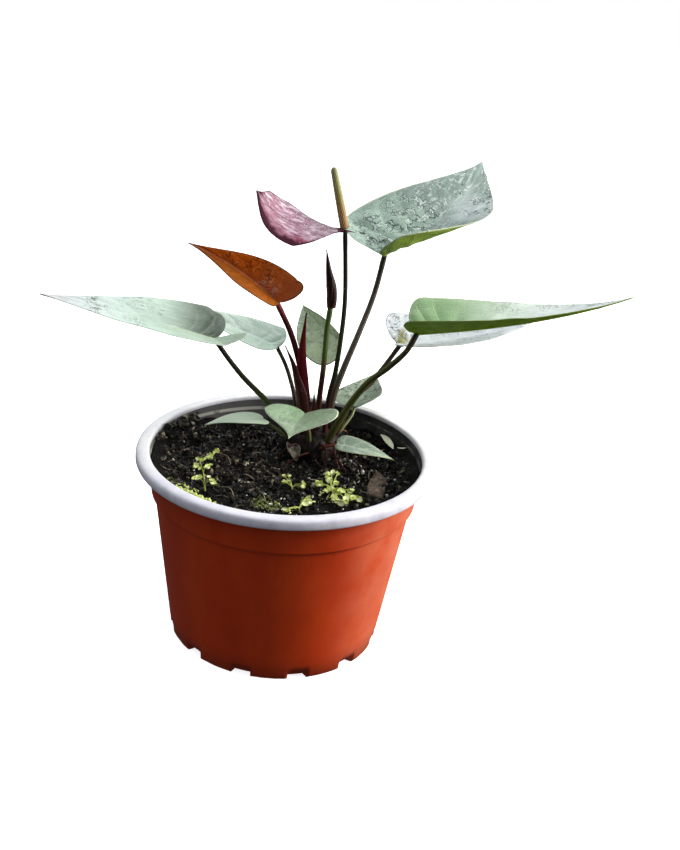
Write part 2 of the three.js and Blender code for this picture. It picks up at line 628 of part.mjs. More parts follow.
// ---------- seedlings and bark ----------
// The part of a seedling that stands in the soil: a straight stem below its foot.
function weedRoot(weed, grow = 0) {
  const [x, y, z] = weed.foot;
  return toSolid(sweep([[x, y, WEED_DEPTH], [x, y, z]], () => weed.stem, { sides: 6, steps: 1, grow }));
}

function weedStems(weed) {
  const spine = [weed.foot, ...(weed.spine ?? [])];
  const main = weed.spine ? [toSolid(sweep(spine, () => weed.stem, { sides: 6, steps: 4 }))] : [];
  const branches = weed.tops.map((top, i) => {
    const start = weed.spine ? spine[Math.floor(i / 2) + 1] : lowered(weed.foot, 0.3);
    const middle = [mix(start[0], top[0], 0.35), mix(start[1], top[1], 0.35), mix(start[2], top[2], 0.8)];
    return toSolid(sweep([start, middle, top], () => weed.stem * 0.8, { sides: 5, steps: 3 }));
  });
  return join([weedRoot(weed), ...main, ...branches]);
}

function weedSolid(weed) {
  const leaves = weed.tops.map((top, i) => {
    const disc = new THREE.SphereGeometry(1, 6, 3);
    disc.scale(weed.leaf[0], 0.5, weed.leaf[1]);
    disc.rotateX(Math.PI / 2 + 0.35 * Math.sin(3 * i));
    disc.rotateZ(1.7 * i);
    return toSolid(disc.translate(...top));
  });
  return join([weedStems(weed), ...leaves]);
}

function chipSolid(grow = 0) {
  const middle = new THREE.Vector2(47, -10);
  const scale = 1 + grow / 6;
  const corners = CHIP.map(([x, y]) => new THREE.Vector2(x, y).sub(middle).multiplyScalar(scale).add(middle));
  const depth = CHIP_THICKNESS + 2 * grow;
  const slab = new THREE.ExtrudeGeometry(new THREE.Shape(corners), { depth, bevelEnabled: false });
  return toSolid(slab.translate(0, 0, CHIP_BOTTOM - grow));
}

// ---------- assembly ----------
const leafStalks = LEAVES.map((leaf) => leafStalk(leaf));
const swollenStalks = LEAVES.map((leaf) => leafStalk(leaf, CLEARANCE));
const bareStalk = (points, radii, grow) => toSolid(sweep(points, stalkShape(radii), { steps: 11, grow }));
const flowerStalk = (grow) => bareStalk(FLOWER_STALK, FLOWER_STALK_RADII, grow);
const budStalk = (grow) => bareStalk(BUD_STALK, BUD_STALK_RADII, grow);
const swollenFeet = [
  ...swollenStalks,
  flowerStalk(CLEARANCE),
  budStalk(CLEARANCE),
  ...SHEATHS.map((sheath) => sheathSolid(sheath, CLEARANCE)),
];

addMesh('pot', toGeometry(potSolid()), COLOURS.terracotta, 0.55);
const weedRoots = WEEDS.map((weed) => weedRoot(weed, CLEARANCE));
const soilTools = [crownSolid(CLEARANCE), chipSolid(CLEARANCE), ...weedRoots];
addMesh('soil', toGeometry(cut(soilSolid(), soilTools)), COLOURS.soil, 0.95);
addMesh('crown', toGeometry(cut(crownSolid(), swollenFeet)), COLOURS.crown, 0.8);

LEAVES.forEach((leaf, i) => {
  const blade = toSolid(bladeGeometry(leaf));
  const stalk = cut(leafStalks[i], clearOf(leaf));
  addMesh(`leaf_${leaf.name}_blade`, toGeometry(blade), COLOURS[leaf.colour], 0.5);
  addMesh(`leaf_${leaf.name}_stalk`, toGeometry(stalk), COLOURS[leaf.stalkColour], 0.5);
});

const spathe = cut(toSolid(bladeGeometry(SPATHE)), [flowerStalk(CLEARANCE), spadixSolid(CLEARANCE)]);
addMesh('flower_spathe', toGeometry(spathe), COLOURS.mauve, 0.4);
addMesh('flower_stalk', toGeometry(flowerStalk(0)), COLOURS.stalkDark, 0.5);
addMesh('flower_spadix', toGeometry(spadixSolid()), COLOURS.cream, 0.6);
addMesh('bud', toGeometry(budSolid()), COLOURS.maroon, 0.5);
addMesh('bud_stalk', toGeometry(budStalk(0)), COLOURS.stalkGreen, 0.5);
SHEATHS.forEach((sheath) => addMesh(sheath.name, toGeometry(sheathSolid(sheath)), COLOURS.redSheath, 0.5));
WEEDS.forEach((weed) => addMesh(weed.name, toGeometry(weedSolid(weed)), COLOURS.weed, 0.6));
addMesh('bark_chip', toGeometry(chipSolid()), COLOURS.bark, 0.9);

export default group;
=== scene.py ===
# %% [markdown]
# A young anthurium in a terracotta coloured nursery pot. The imported CAD model gives the frame:
# where each leaf, stalk and wall is. This lesson rebuilds every piece as a finer surface in the
# same place, and gives it a finish made of shader nodes. The frame is loaded first; the finer
# pieces are meant to stay inside the box that it fills.

# %% Load the frame
import math

import bmesh
import bpy
import numpy as np
from mathutils import Matrix


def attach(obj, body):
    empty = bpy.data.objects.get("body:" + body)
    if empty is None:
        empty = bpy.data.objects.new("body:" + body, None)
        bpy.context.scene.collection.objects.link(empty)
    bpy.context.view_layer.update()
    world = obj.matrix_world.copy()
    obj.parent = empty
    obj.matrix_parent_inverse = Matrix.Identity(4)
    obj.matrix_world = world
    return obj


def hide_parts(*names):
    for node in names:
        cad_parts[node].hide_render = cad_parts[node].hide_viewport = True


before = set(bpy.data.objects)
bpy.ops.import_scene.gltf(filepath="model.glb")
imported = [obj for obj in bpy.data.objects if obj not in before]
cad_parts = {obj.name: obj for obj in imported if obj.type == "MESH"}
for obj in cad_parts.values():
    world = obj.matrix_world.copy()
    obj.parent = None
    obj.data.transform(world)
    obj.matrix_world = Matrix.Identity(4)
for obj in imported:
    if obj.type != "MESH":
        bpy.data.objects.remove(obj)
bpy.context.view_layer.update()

MM = 0.001

# %% [markdown]
# The camera stands a little above the pot, in front of it, and is slightly turned and tipped, as
# the photographer held it. Its axes are worked out from four angles. The lens is a normal one:
# 50 mm on a 36 mm sensor.

# %% Camera
ELEVATION, YAW, PITCH, ROLL = (math.radians(a) for a in (24.92, 2.46, 1.5, 4.65))
AIM = np.array([0.0, 0.0, 0.1])
DISTANCE = 0.6
LENS, SENSOR = 49.98, 36.0


def turned(first, second, angle):
    """The first axis turned towards the second: first times cosine plus second times sine."""
    return first * math.cos(angle) + second * math.sin(angle)


def camera_axes():
    """Right, up and back axes: tilt down by the elevation, then yaw, pitch and roll in turn."""
    right = np.array([1.0, 0.0, 0.0])
    up = np.array([0.0, math.sin(ELEVATION), math.cos(ELEVATION)])
    ahead = np.array([0.0, math.cos(ELEVATION), -math.sin(ELEVATION)])
    ahead, right = turned(ahead, right, YAW), turned(right, ahead, -YAW)
    ahead, up = turned(ahead, up, PITCH), turned(up, ahead, -PITCH)
    right, up = turned(right, up, ROLL), turned(up, right, -ROLL)
    return right, up, -ahead


def stand(thing, right, up, back, place):
    """Puts a camera or lamp in the scene, turned to these axes."""
    axes = np.column_stack([right, up, back, place])
    thing.matrix_world = Matrix([*axes.tolist(), [0, 0, 0, 1]])
    bpy.context.scene.collection.objects.link(thing)


def place_camera():
    """Puts the camera back from the aim point, along the line of sight before its small turns."""
    data = bpy.data.cameras.new("camera")
    data.lens, data.sensor_width = LENS, SENSOR
    camera = bpy.data.objects.new("camera", data)
    stand(camera, *camera_axes(), AIM + DISTANCE * np.array([0.0, -math.cos(ELEVATION), math.sin(ELEVATION)]))
    bpy.context.scene.camera = camera
    return camera


camera = place_camera()
print("camera at", [round(v, 3) for v in camera.location])

# %% [markdown]
# Shader maths reads best as plain arithmetic. A Link wraps one output socket of a node tree, and
# each sum, product or difference of Links adds the Math node that does it. Every other node comes
# from its node method, which sets the node's own settings first and then its inputs. Colours are
# written as on a screen, 0 to 255 a channel, and turned into the shader's own linear scale.

# %% A small language for node trees
def linear(colour):
    """A screen colour as the linear, opaque colour that a socket wants."""
    share = np.array(colour) / 255
    straight = np.where(share <= 0.04045, share / 12.92, ((share + 0.055) / 1.055) ** 2.4)
    return (*map(float, straight), 1.0)


class Link:
    """One output socket of a node tree, or the bare tree when it has no socket yet."""

    def __init__(self, tree, socket=None):
        self.tree, self.socket = tree, socket

    def node(self, kind, settings=None, inputs=None, out=0):
        """Adds a node: settings are its properties or a ramp's stops, inputs are values or Links."""
        made = self.tree.nodes.new("ShaderNode" + kind)
        for key, value in (settings or {}).items():
            if key == "stops":
                self.set_stops(made.color_ramp, value)
            else:
                setattr(made, key, value)
        for key, value in (inputs or {}).items():
            if isinstance(value, Link):
                self.tree.links.new(value.socket, made.inputs[key])
            else:
                made.inputs[key].default_value = value
        return Link(self.tree, made.outputs[out] if len(made.outputs) else None)

    @staticmethod
    def set_stops(ramp, stops):
        """Fills a colour ramp from its stops, a table of screen colours by place, in rising order."""
        first, *middle, last = stops
        for element, place in zip(ramp.elements, (first, last)):
            element.position, element.color = place, linear(stops[place])
        for place in middle:
            ramp.elements.new(place).color = linear(stops[place])

    def math(self, operation, *values):
        """A Math node on these values."""
        return self.node("Math", {"operation": operation}, dict(enumerate(values)))

    def __add__(self, other):
        return self.math("ADD", self, other)

    def __sub__(self, other):
        return self.math("SUBTRACT", self, other)

    def __rsub__(self, other):
        return self.math("SUBTRACT", other, self)

    def __mul__(self, other):
        return self.math("MULTIPLY", self, other)

    __radd__, __rmul__ = __add__, __mul__

    def between(self, low, high):
        """0 below low, 1 above high, and a smooth step from one to the other."""
        inputs = {"Value": self, "From Min": low, "From Max": high}
        return self.node("MapRange", {"interpolation_type": "SMOOTHSTEP"}, inputs)

    def mix(self, first, second):
        """This value as the factor between two colours, each a Link or a screen colour."""
        first, second = (colour if isinstance(colour, Link) else linear(colour) for colour in (first, second))
        return self.node("Mix", {"data_type": "RGBA"}, {0: self, 6: first, 7: second}, out=2)

    def ramp(self, stops):
        """A colour ramp on this value."""
        return self.node("ValToRGB", {"stops": stops}, {0: self})

    def noise(self, scale, detail=3.0, rough=0.55, stretch=None):
        """Noise on this vector. Scale counts waves in one unit of it; stretch scales its three axes."""
        vector = self.node("Mapping", {"vector_type": "POINT"}, {0: self, 3: stretch}) if stretch else self
        inputs = {"Vector": vector, "Scale": scale, "Detail": detail, "Roughness": rough}
        return vector.node("TexNoise", {}, inputs)

    def stored(self, *names):
        """The values that the mesh keeps at its points under these names."""
        found = [self.node("Attribute", {"attribute_name": name}, out="Fac") for name in names]
        return found if len(found) > 1 else found[0]

    def place(self):
        """Where a point is, in metres."""
        return self.node("TexCoord", out="Object")

    def axis(self, name):
        """X, Y or Z of this vector."""
        return self.node("SeparateXYZ", {}, {0: self}, out=name)


def new_finish(name):
    """An empty material and a Link on its tree."""
    material = bpy.data.materials.new(name)
    material.use_nodes = True
    material.node_tree.nodes.clear()
    return material, Link(material.node_tree)


def close_finish(material, constants=None, **links):
    """Adds the Principled shader: constants on its own sockets, links on the ones that vary."""
    tree = Link(material.node_tree)
    inputs = {**(constants or {}), **{key.replace("_", " "): link for key, link in links.items()}}
    shader = tree.node("BsdfPrincipled", {}, inputs)
    tree.node("OutputMaterial", {}, {"Surface": shader})
    return material


def bumped(height, strength, distance):
    """A Bump node on a height link. Distance is in metres."""
    return height.node("Bump", {}, {"Height": height, "Strength": strength, "Distance": distance})


print("node language ready")

# %% [markdown]
# Every new piece is a grid of points worked out with numpy in millimetres. One function puts the
# arrays into a mesh, welds the seams and poles, turns the faces outward, stores the values that
# the finish reads, and lets the piece ride on the frame's one body.

# %% From arrays to a piece
WELD = 2e-6


def grid_quads(rows, columns, wrap=False, first=0):
    """Quads of a grid with this many points each way; wrap joins the last column to the first."""
    i, j = np.meshgrid(np.arange(rows - 1), np.arange(columns if wrap else columns - 1), indexing="ij")
    nxt = (j + 1) % columns
    corners = [i * columns + j, (i + 1) * columns + j, (i + 1) * columns + nxt, i * columns + nxt]
    return first + np.stack(corners, -1).reshape(-1, 4)


def make_piece(name, points, faces, finish, slot=None, stands_for=(), values=None, smooth=True):
    """A mesh from points in millimetres and four-cornered faces, finished and riding on the root."""
    points, faces = np.asarray(points, float).reshape(-1, 3), np.asarray(faces, np.int32)
    mesh = bpy.data.meshes.new(name)
    mesh.vertices.add(len(points))
    mesh.vertices.foreach_set("co", (points * MM).astype(np.float32).ravel())
    mesh.loops.add(faces.size)
    mesh.loops.foreach_set("vertex_index", faces.ravel())
    mesh.polygons.add(len(faces))
    mesh.polygons.foreach_set("loop_start", np.arange(len(faces), dtype=np.int32) * faces.shape[1])
    mesh.update(calc_edges=True)
    for key, value in (values or {}).items():
        layer = mesh.attributes.new(key, "FLOAT", "POINT")
        layer.data.foreach_set("value", np.asarray(value, np.float32).ravel())
    shell = bmesh.new()
    shell.from_mesh(mesh)
    bmesh.ops.remove_doubles(shell, verts=shell.verts, dist=WELD)
    bmesh.ops.dissolve_degenerate(shell, edges=shell.edges, dist=WELD)
    bmesh.ops.recalc_face_normals(shell, faces=shell.faces)
    shell.to_mesh(mesh)
    shell.free()
    mesh.polygons.foreach_set("use_smooth", np.full(len(mesh.polygons), smooth))
    mesh.materials.append(finish)
    piece = bpy.data.objects.new(name, mesh)
    bpy.context.scene.collection.objects.link(piece)
    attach(piece, "root")
    if stands_for:
        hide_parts(*stands_for)
    return piece


def hills(x, y, size, seed):
    """Smooth random hills about size millimetres apart: lattice heights joined by an S-curve."""
    table = np.random.default_rng(seed).uniform(-1, 1, (64, 64))
    u, v = np.asarray(x) / size, np.asarray(y) / size
    i, j = np.floor(u).astype(int), np.floor(v).astype(int)
    u, v = u - i, v - j
    u, v = u * u * (3 - 2 * u), v * v * (3 - 2 * v)
    corner = lambda a, b: table[a % 64, b % 64]
    low = corner(i, j) * (1 - u) + corner(i + 1, j) * u
    high = corner(i, j + 1) * (1 - u) + corner(i + 1, j + 1) * u
    return low * (1 - v) + high * v


def ease(value, low, high):
    """0 below low, 1 above high, and an S-curve between."""
    share = np.clip((np.asarray(value) - low) / (high - low), 0, 1)
    return share * share * (3 - 2 * share)


def unit(vectors):
    """The same directions, each one long."""
    return vectors / np.linalg.norm(vectors, axis=-1, keepdims=True)


print("piece maker ready")

# %% [markdown]
# The pot is blow-moulded from thin plastic: a terracotta wall with one step, a rolled rim in pale
# lilac, and a base cut into twelve feet. It is a surface of revolution, so a profile is turned
# about the upright axis. At the feet the profile changes with the angle: between two feet its
# lowest corners move inward and up.

# %% Pot shape
POT_HEIGHT, RIM_RADIUS, RIM_TILT = 101.5, 75.8, (0.02, 0.01)
BASE_RADIUS, WALL_SLOPE, WALL = 54.8, 0.139, 1.4
STEP_HEIGHT, STEP_RISE, STEP_OUT = 78.0, 1.6, 1.6
FEET, FOOT_HALF_ANGLE, NOTCH_ANGLES = 12, 9.6, (10.6, 19.4)
OUTSIDE, RIM, INSIDE = 0.0, 1.0, 2.0


def wall_radius(z):
    """Outer wall: a straight cone that steps out near the top."""
    z = np.asarray(z, float)
    return BASE_RADIUS + WALL_SLOPE * z + STEP_OUT * ease(z, STEP_HEIGHT, STEP_HEIGHT + STEP_RISE)


def pot_profile():
    """Columns r and z at a foot, r and z between feet, and the zone, from the base's centre round."""
    levels = (*np.linspace(8, 77, 12), 77.6, 78, 78.4, 78.8, 79.2, 79.6, 80.2, 88, 96)
    wall = [[wall_radius(z), z] for z in levels]
    lip = wall_radius(98) + 0.5
    outer = [[-2.0, -3.5], [-1.8, -3.9], [-1.6, -4.5], [-1.3, -4.95], [-0.8, -5.1], [-0.3, -4.9], [0, -4.3],
             [0, -3.0], [-0.05, -2.0], [-0.3, -1.0], [-0.8, -0.4], [-1.7, 0]]
    rim = [[lip, POT_HEIGHT - 3.5]] + [[RIM_RADIUS + r, POT_HEIGHT + z] for r, z in outer]
    mouth = float(wall_radius(POT_HEIGHT)) - WALL
    top = [[3.0, 0], [1.3, 0], [0.5, -0.1], [0.1, -0.5], [-0.1, -1.2]]
    rim += [[mouth + r, POT_HEIGHT + z] for r, z in top]
    inner = [[wall_radius(z) - WALL, z] for z in (98.9, 94, 90, 86, 82, 80, 78.6, 77, 60, 30, 9)]
    foot = [[0, 0], [30, 0], [50.6, 0], [54.3, 0], [54.9, 0.6], [55.3, 4.4], [55.5, 5.0]]
    between = [[0, 0], [30, 0], [50.6, 0], [50.8, 0.5], [51.5, 2.4], [52.6, 4.8], [55.4, 5.1]]
    tail = [[52.0, 6.5], [50.0, 2.6], [30, 1.8], [0, 1.8]]
    middle = wall + rim + inner + tail
    zones = [OUTSIDE] * (len(foot) + len(wall)) + [RIM] * len(rim) + [INSIDE] * (len(inner) + len(tail))
    return np.array(foot + middle), np.array(between + middle), np.array(zones)


def pot_angles():
    """Angles round the pot, closest together at the sides of each foot, and which are in a gap."""
    foot, gap = np.linspace(-FOOT_HALF_ANGLE, FOOT_HALF_ANGLE, 11), np.linspace(*NOTCH_ANGLES, 6)
    starts = np.arange(FEET)[:, None] * 360 / FEET
    between = np.concatenate([0 * foot, 1 + 0 * gap])
    return np.radians((starts + np.concatenate([foot, gap])).ravel()), np.tile(between, FEET)


def pot_grid():
    """x is r cos a, y is r sin a, and the height grows with its share of the rim's tilt. Returns the
    points, the zones and the crest, which is 1 on the flat top of the rim."""
    foot, between, zones = pot_profile()
    angles, gap = pot_angles()
    wear_and_highlight = 0.25 * hills(np.degrees(angles) / 6, angles * 0, 1.0, 5)
    profile = foot[:, None, :] * (1 - gap[None, :, None]) + between[:, None, :] * gap[None, :, None]
    radius, height = profile[..., 0], profile[..., 1]
    near_base = (zones[:, None] == OUTSIDE) * np.clip(1 - height / 8, 0, 1) * (radius > 52)
    radius = radius - np.abs(wear_and_highlight) * near_base
    x, y = radius * np.cos(angles), radius * np.sin(angles)
    lean = 1 + (RIM_TILT[0] * x + RIM_TILT[1] * y) / POT_HEIGHT
    crest = ease(height, POT_HEIGHT - 1.4, POT_HEIGHT - 0.2) * (zones == RIM)[:, None]
    return np.stack([x, y, height * lean], -1), np.broadcast_to(zones[:, None], height.shape), crest


pot_points, pot_zone, pot_crest = pot_grid()
print("pot grid", pot_points.shape, "height", round(float(pot_points[..., 2].max()), 2), "mm")

# %% [markdown]
# The plastic's colour comes from where a point is: the zone tells wall, rim and inside apart. The
# wall is warm brick red, with painted sheen on the right and painted shade on the left, faint
# scuffs and a dark painted shadow line under the rim. The rim is pale lilac, and a painted
# highlight whitens its top, except towards the front. The inside is black, dusty on the left,
# with a grey band of dried mud where the soil once was.

# %% Pot finish
def pot_finish():
    """Mixes three colours by zone. Scuffs are stretched noise, mud is noise kept to one height."""
    material, tree = new_finish("terracotta_plastic")
    place = tree.place()
    zone, crest = tree.stored("zone", "crest")
    across, deep, height = (place.axis(name) for name in "XYZ")
    flow = place.noise(38, 4, 0.6, stretch=(1, 1, 0.45))
    wall = flow.ramp({0.3: (184, 52, 12), 0.5: (196, 60, 15), 0.7: (206, 70, 20)})
    # Painted sheen: the right front of the wall is washed pale, where the warm side light falls.
    right_sheen = across.between(0.02, 0.06) * (1 - deep.between(-0.02, 0.03))
    right_sheen = right_sheen * place.noise(60, 3).between(0.0, 0.8)
    wall = (right_sheen * 0.42).mix(wall, (232, 156, 124))
    # Painted shade: the left side of the wall is deepened to a dark red.
    wall = ((1 - across.between(-0.055, -0.03)) * 0.35).mix(wall, (150, 40, 2))
    scuffs = place.noise(260, 5, 0.7, stretch=(1, 1, 0.5)).between(0.66, 0.74)
    scuffs = scuffs * place.noise(30).between(0.5, 0.62) * 0.55
    wall = scuffs.mix(wall, (226, 150, 118))
    wall = ((0.012 - height).between(-0.004, 0.01) * 0.35).mix(wall, (92, 32, 12))
    wall = (height.between(0.0935, 0.0975) * 0.75).mix(wall, (96, 34, 16))
    lilac = place.noise(120, 4, 0.65)
    lilac = lilac.ramp({0.3: (196, 195, 210), 0.5: (214, 213, 226), 0.72: (226, 225, 235)})
    # Painted highlight: the rim's flat top is whitened, except towards the front.
    wear_and_highlight = place.noise(160, 4, 0.6).ramp({0.3: (238, 237, 243), 0.55: (249, 249, 250)})
    lilac = (crest * (1 - (0 - deep).between(0.015, 0.055) * 0.85)).mix(lilac, wear_and_highlight)
    lilac = (place.noise(420, 4, 0.7).between(0.66, 0.76) * 0.3).mix(lilac, (164, 160, 164))
    dark = place.noise(90, 4).ramp({0.3: (38, 38, 38), 0.6: (70, 70, 70), 0.75: (104, 102, 100)})
    dark = ((1 - across.between(-0.065, -0.05)) * 0.6).mix(dark, (150, 152, 138))
    left = 1 - across.between(-0.02, 0.03)
    dark = (left * 0.45).mix(dark, (112, 112, 114))
    mud = height.between(0.0938, 0.0946) * (1 - height.between(0.0956, 0.0962)) * left
    dark = (mud * place.noise(150, 4).between(0.25, 0.45) * 0.85).mix(dark, (188, 190, 182))
    streak = height.between(0.0962, 0.0970) * (1 - height.between(0.0972, 0.0980)) * (1 - left)
    dark = (streak * place.noise(110, 3).between(0.35, 0.55) * 0.8).mix(dark, (150, 148, 142))
    colour = zone.between(1.4, 1.6).mix(zone.between(0.4, 0.6).mix(wall, lilac), dark)
    rough = 0.45 + 0.2 * place.noise(200, 4) + 0.25 * scuffs
    relief = place.noise(90, 3) * 0.6 + place.noise(900, 2) * 0.12 + scuffs * 0.3
    return close_finish(material, {"IOR": 1.5, "Specular IOR Level": 0.2}, Base_Color=colour,
                        Roughness=rough, Normal=bumped(relief, 0.35, 0.0006))


pot = make_piece("pot_shell", pot_points, grid_quads(*pot_points.shape[:2], wrap=True), pot_finish(),
                 "pot_plastic", ["pot"], {"zone": pot_zone, "crest": pot_crest})
print("pot faces", len(pot.data.polygons))

# %% [markdown]
# The potting mix is wet, dark and crumbly. Its top is one fine disc: rings from the middle out,
# raised by a few sizes of random hills, then carried down inside the wall and closed underneath.

# %% Soil shape
SOIL_LEVEL, SOIL_LUMP, SOIL_DIP, SOIL_BANK = 89.5, 1.1, 1.2, 8.5
SOIL_GAP, SOIL_SHOULDER, SOIL_BOTTOM = 0.65, 84.0, 79.0
SOIL_RADIUS = float(wall_radius(SOIL_LEVEL)) - WALL - SOIL_GAP
DIP_FROM, BANK_FROM, CALM_FROM = 50.0, 54.0, 58.0
CRUMB_BASE, BITS_REACH = 0.9, 63.5


def soil_waves(x, y):
    """The frame's own low waves: two crossed sines, a dip near the wall, and a bank
    against it on the left and right."""
    lumps = np.sin(0.31 * x + 1.3) * np.cos(0.27 * y) + 0.6 * np.sin(0.17 * x - 0.38 * y + 2)
    radius = np.hypot(x, y)
    bank = SOIL_BANK * np.clip((radius - BANK_FROM) / 13, 0, 1) * np.abs(x) / (radius + 1)
    return SOIL_LEVEL + SOIL_LUMP * lumps - SOIL_DIP * np.clip((radius - DIP_FROM) / 15, 0, 1) + bank


def soil_height(x, y):
    """The waves plus crumbs: hills of four sizes, the middle two folded up, calmer near the wall."""
    crumbs = 1.1 * hills(x, y, 8, 11) + 1.3 * np.abs(hills(x, y, 3.5, 12))
    crumbs += 0.7 * np.abs(hills(x + 0.6 * y, y - 0.4 * x, 1.6, 13)) + 0.25 * hills(x, y, 0.8, 14)
    calm = 1 - 0.7 * ease(np.hypot(x, y), CALM_FROM, CALM_FROM + 7)
    return soil_waves(x, y) - CRUMB_BASE + crumbs * calm


def soil_grid(rings=170, sectors=360):
    """Rings of the lumpy top, then two rings down the side and one point below."""
    angle = np.linspace(0, 2 * np.pi, sectors, endpoint=False)[None, :]
    edge = soil_waves(SOIL_RADIUS * np.cos(angle), SOIL_RADIUS * np.sin(angle))
    radius = (wall_radius(edge) - WALL - SOIL_GAP) * np.linspace(0, 1, rings)[:, None]
    x, y = radius * np.cos(angle), radius * np.sin(angle)
    top = np.stack([x, y, soil_height(x, y)], -1)
    side = [(SOIL_RADIUS - 0.4, SOIL_SHOULDER), (SOIL_RADIUS - 2.5, SOIL_BOTTOM), (0, SOIL_BOTTOM)]
    rows = [np.stack([r * np.cos(angle[0]), r * np.sin(angle[0]), np.full(sectors, z)], -1) for r, z in side]
    return np.concatenate([top, rows])


soil_points = soil_grid()
print("soil grid", soil_points.shape, "top", round(float(soil_points[..., 2].max()), 1), "mm")


# %% Soil finish
def soil_finish():
    """Near-black peat, browner in patches, with pale fibres where the fine noise is high."""
    material, tree = new_finish("potting_mix")
    place = tree.place()
    crumbs = place.noise(520, 6, 0.7)
    peat = crumbs.ramp({0.34: (2, 2, 1), 0.52: (6, 5, 3), 0.62: (24, 21, 14), 0.74: (104, 98, 78)})
    wood = crumbs.ramp({0.38: (6, 4, 3), 0.6: (26, 17, 12), 0.8: (84, 64, 48)})
    colour = (place.noise(60, 3).between(0.52, 0.66) * 0.6).mix(peat, wood)
    relief = crumbs + place.noise(1400, 4, 0.7) * 0.5
    return close_finish(material, {"IOR": 1.4, "Specular IOR Level": 0.2}, Base_Color=colour,
                        Roughness=0.55 + 0.4 * place.noise(180, 3), Normal=bumped(relief, 0.9, 0.0012))


soil = make_piece("soil_top", soil_points, grid_quads(*soil_points.shape[:2], wrap=True), soil_finish(),
                  "potting_soil", ["soil"])
print("soil faces", len(soil.data.polygons))

# %% [markdown]
# What makes soil look like soil is what lies loose on it: crumbs of peat, flakes of bark, grey
# grit, fibres and a few white grains of perlite. Most have broken edges, so theirs is a skew block
# with flat faces; a grain of perlite is a small round lump. Each kind is one shape of few faces,
# repeated with its own size and turn by one array product, and laid on the soil's height.

# %% Loose bits
def lump(sides=6, rows=4):
    """A closed ball: rings of points by latitude and longitude, one unit in radius."""
    latitude = np.linspace(-np.pi / 2, np.pi / 2, rows + 1)[:, None]
    longitude = np.linspace(0, 2 * np.pi, sides, endpoint=False)[None, :]
    x, y = np.cos(latitude) * np.cos(longitude), np.cos(latitude) * np.sin(longitude)
    return np.stack([x, y, np.sin(latitude) + 0 * longitude], -1), grid_quads(rows + 1, sides, wrap=True)


def shard():
    """A skew block of six faces, narrower above, that reaches about one unit each way."""
    low = np.array([[-1, -1, -0.8], [1.1, -0.7, -1], [0.7, 0.9, -0.9], [-0.8, 1.1, -0.7]])
    high = np.array([[-0.7, -0.6, 0.9], [0.8, -0.9, 0.7], [0.9, 0.5, 0.8], [-1, 0.6, 1]])
    ends = [np.broadcast_to(ring.mean(0), ring.shape) for ring in (low, high)]
    return np.stack([ends[0], low, high, ends[1]]), grid_quads(4, 4, wrap=True)


def random_turns(random, count):
    """Rotation matrices from random unit quaternions."""
    w, x, y, z = unit(random.normal(size=(count, 4))).T
    rows = [[1 - 2 * (y * y + z * z), 2 * (x * y - w * z), 2 * (x * z + w * y)],
            [2 * (x * y + w * z), 1 - 2 * (x * x + z * z), 2 * (y * z - w * x)],
            [2 * (x * z - w * y), 2 * (y * z + w * x), 1 - 2 * (x * x + y * y)]]
    return np.array(rows).transpose(2, 0, 1)


def repeated(shape, faces, places, sizes, turns):
    """Copies of one shape: each is scaled by its size, turned and moved to its place."""
    shape = shape.reshape(-1, 3)
    points = np.einsum("nij,nkj->nki", turns, shape[None] * sizes[:, None, :]) + places[:, None, :]
    offsets = np.arange(len(places))[:, None, None] * len(shape)
    return points.reshape(-1, 3), (faces[None] + offsets).reshape(-1, faces.shape[1])


def strewn(name, shape, places, sizes, random, shades, finish, slot, smooth=True):
    """One copy of a shape at each place, with a random turn and a shade out of the range."""
    points, faces = repeated(*shape, places, sizes, random_turns(random, len(places)))
    shade = np.repeat(random.uniform(*shades, len(places)), shape[0].size // 3)
    return make_piece(name, points, faces, finish, slot, values={"shade": shade}, smooth=smooth)


def disc_places(random, count, centre=(0, 0), spread=63, lift=0.2):
    """Points spread evenly over a round patch of the soil, kept inside the wall."""
    angle, radius = random.uniform(0, 2 * np.pi, count), spread * np.sqrt(random.uniform(0, 1, count))
    x, y = centre[0] + radius * np.cos(angle), centre[1] + radius * np.sin(angle)
    kept = np.minimum(1, BITS_REACH / np.hypot(x, y))
    x, y = x * kept, y * kept
    return np.stack([x, y, soil_height(x, y) + lift], -1)


def bits(name, finish, slot, count, size, flat, seed, patches, lift=0.2, shape=lump(), long=1.0):
    """Loose bits in patches of (centre, spread, share); size is a range in mm, flat squeezes them
    and long draws them out."""
    random = np.random.default_rng(seed)
    groups = [disc_places(random, int(count * share), centre, spread, lift)
              for centre, spread, share in patches]
    places = np.concatenate(groups)
    total = len(places)
    sizes = random.uniform(*size, (total, 1)) * random.uniform(*flat, (total, 3)) * (long, 1, 1)
    return strewn(name, shape, places, sizes, random, (0, 1), finish, slot, smooth=long == 1)


def bit_finish(name, stops, rough=0.8):
    """Each bit takes its own colour from its shade, broken up by fine noise."""
    material, tree = new_finish(name)
    grain = tree.place().noise(900, 3, 0.65)
    colour = (tree.stored("shade") * 0.75 + grain * 0.5 - 0.12).ramp(stops)
    return close_finish(material, {"Specular IOR Level": 0.25}, Base_Color=colour,
                        Roughness=rough - 0.3 * grain, Normal=bumped(grain, 0.6, 0.0004))


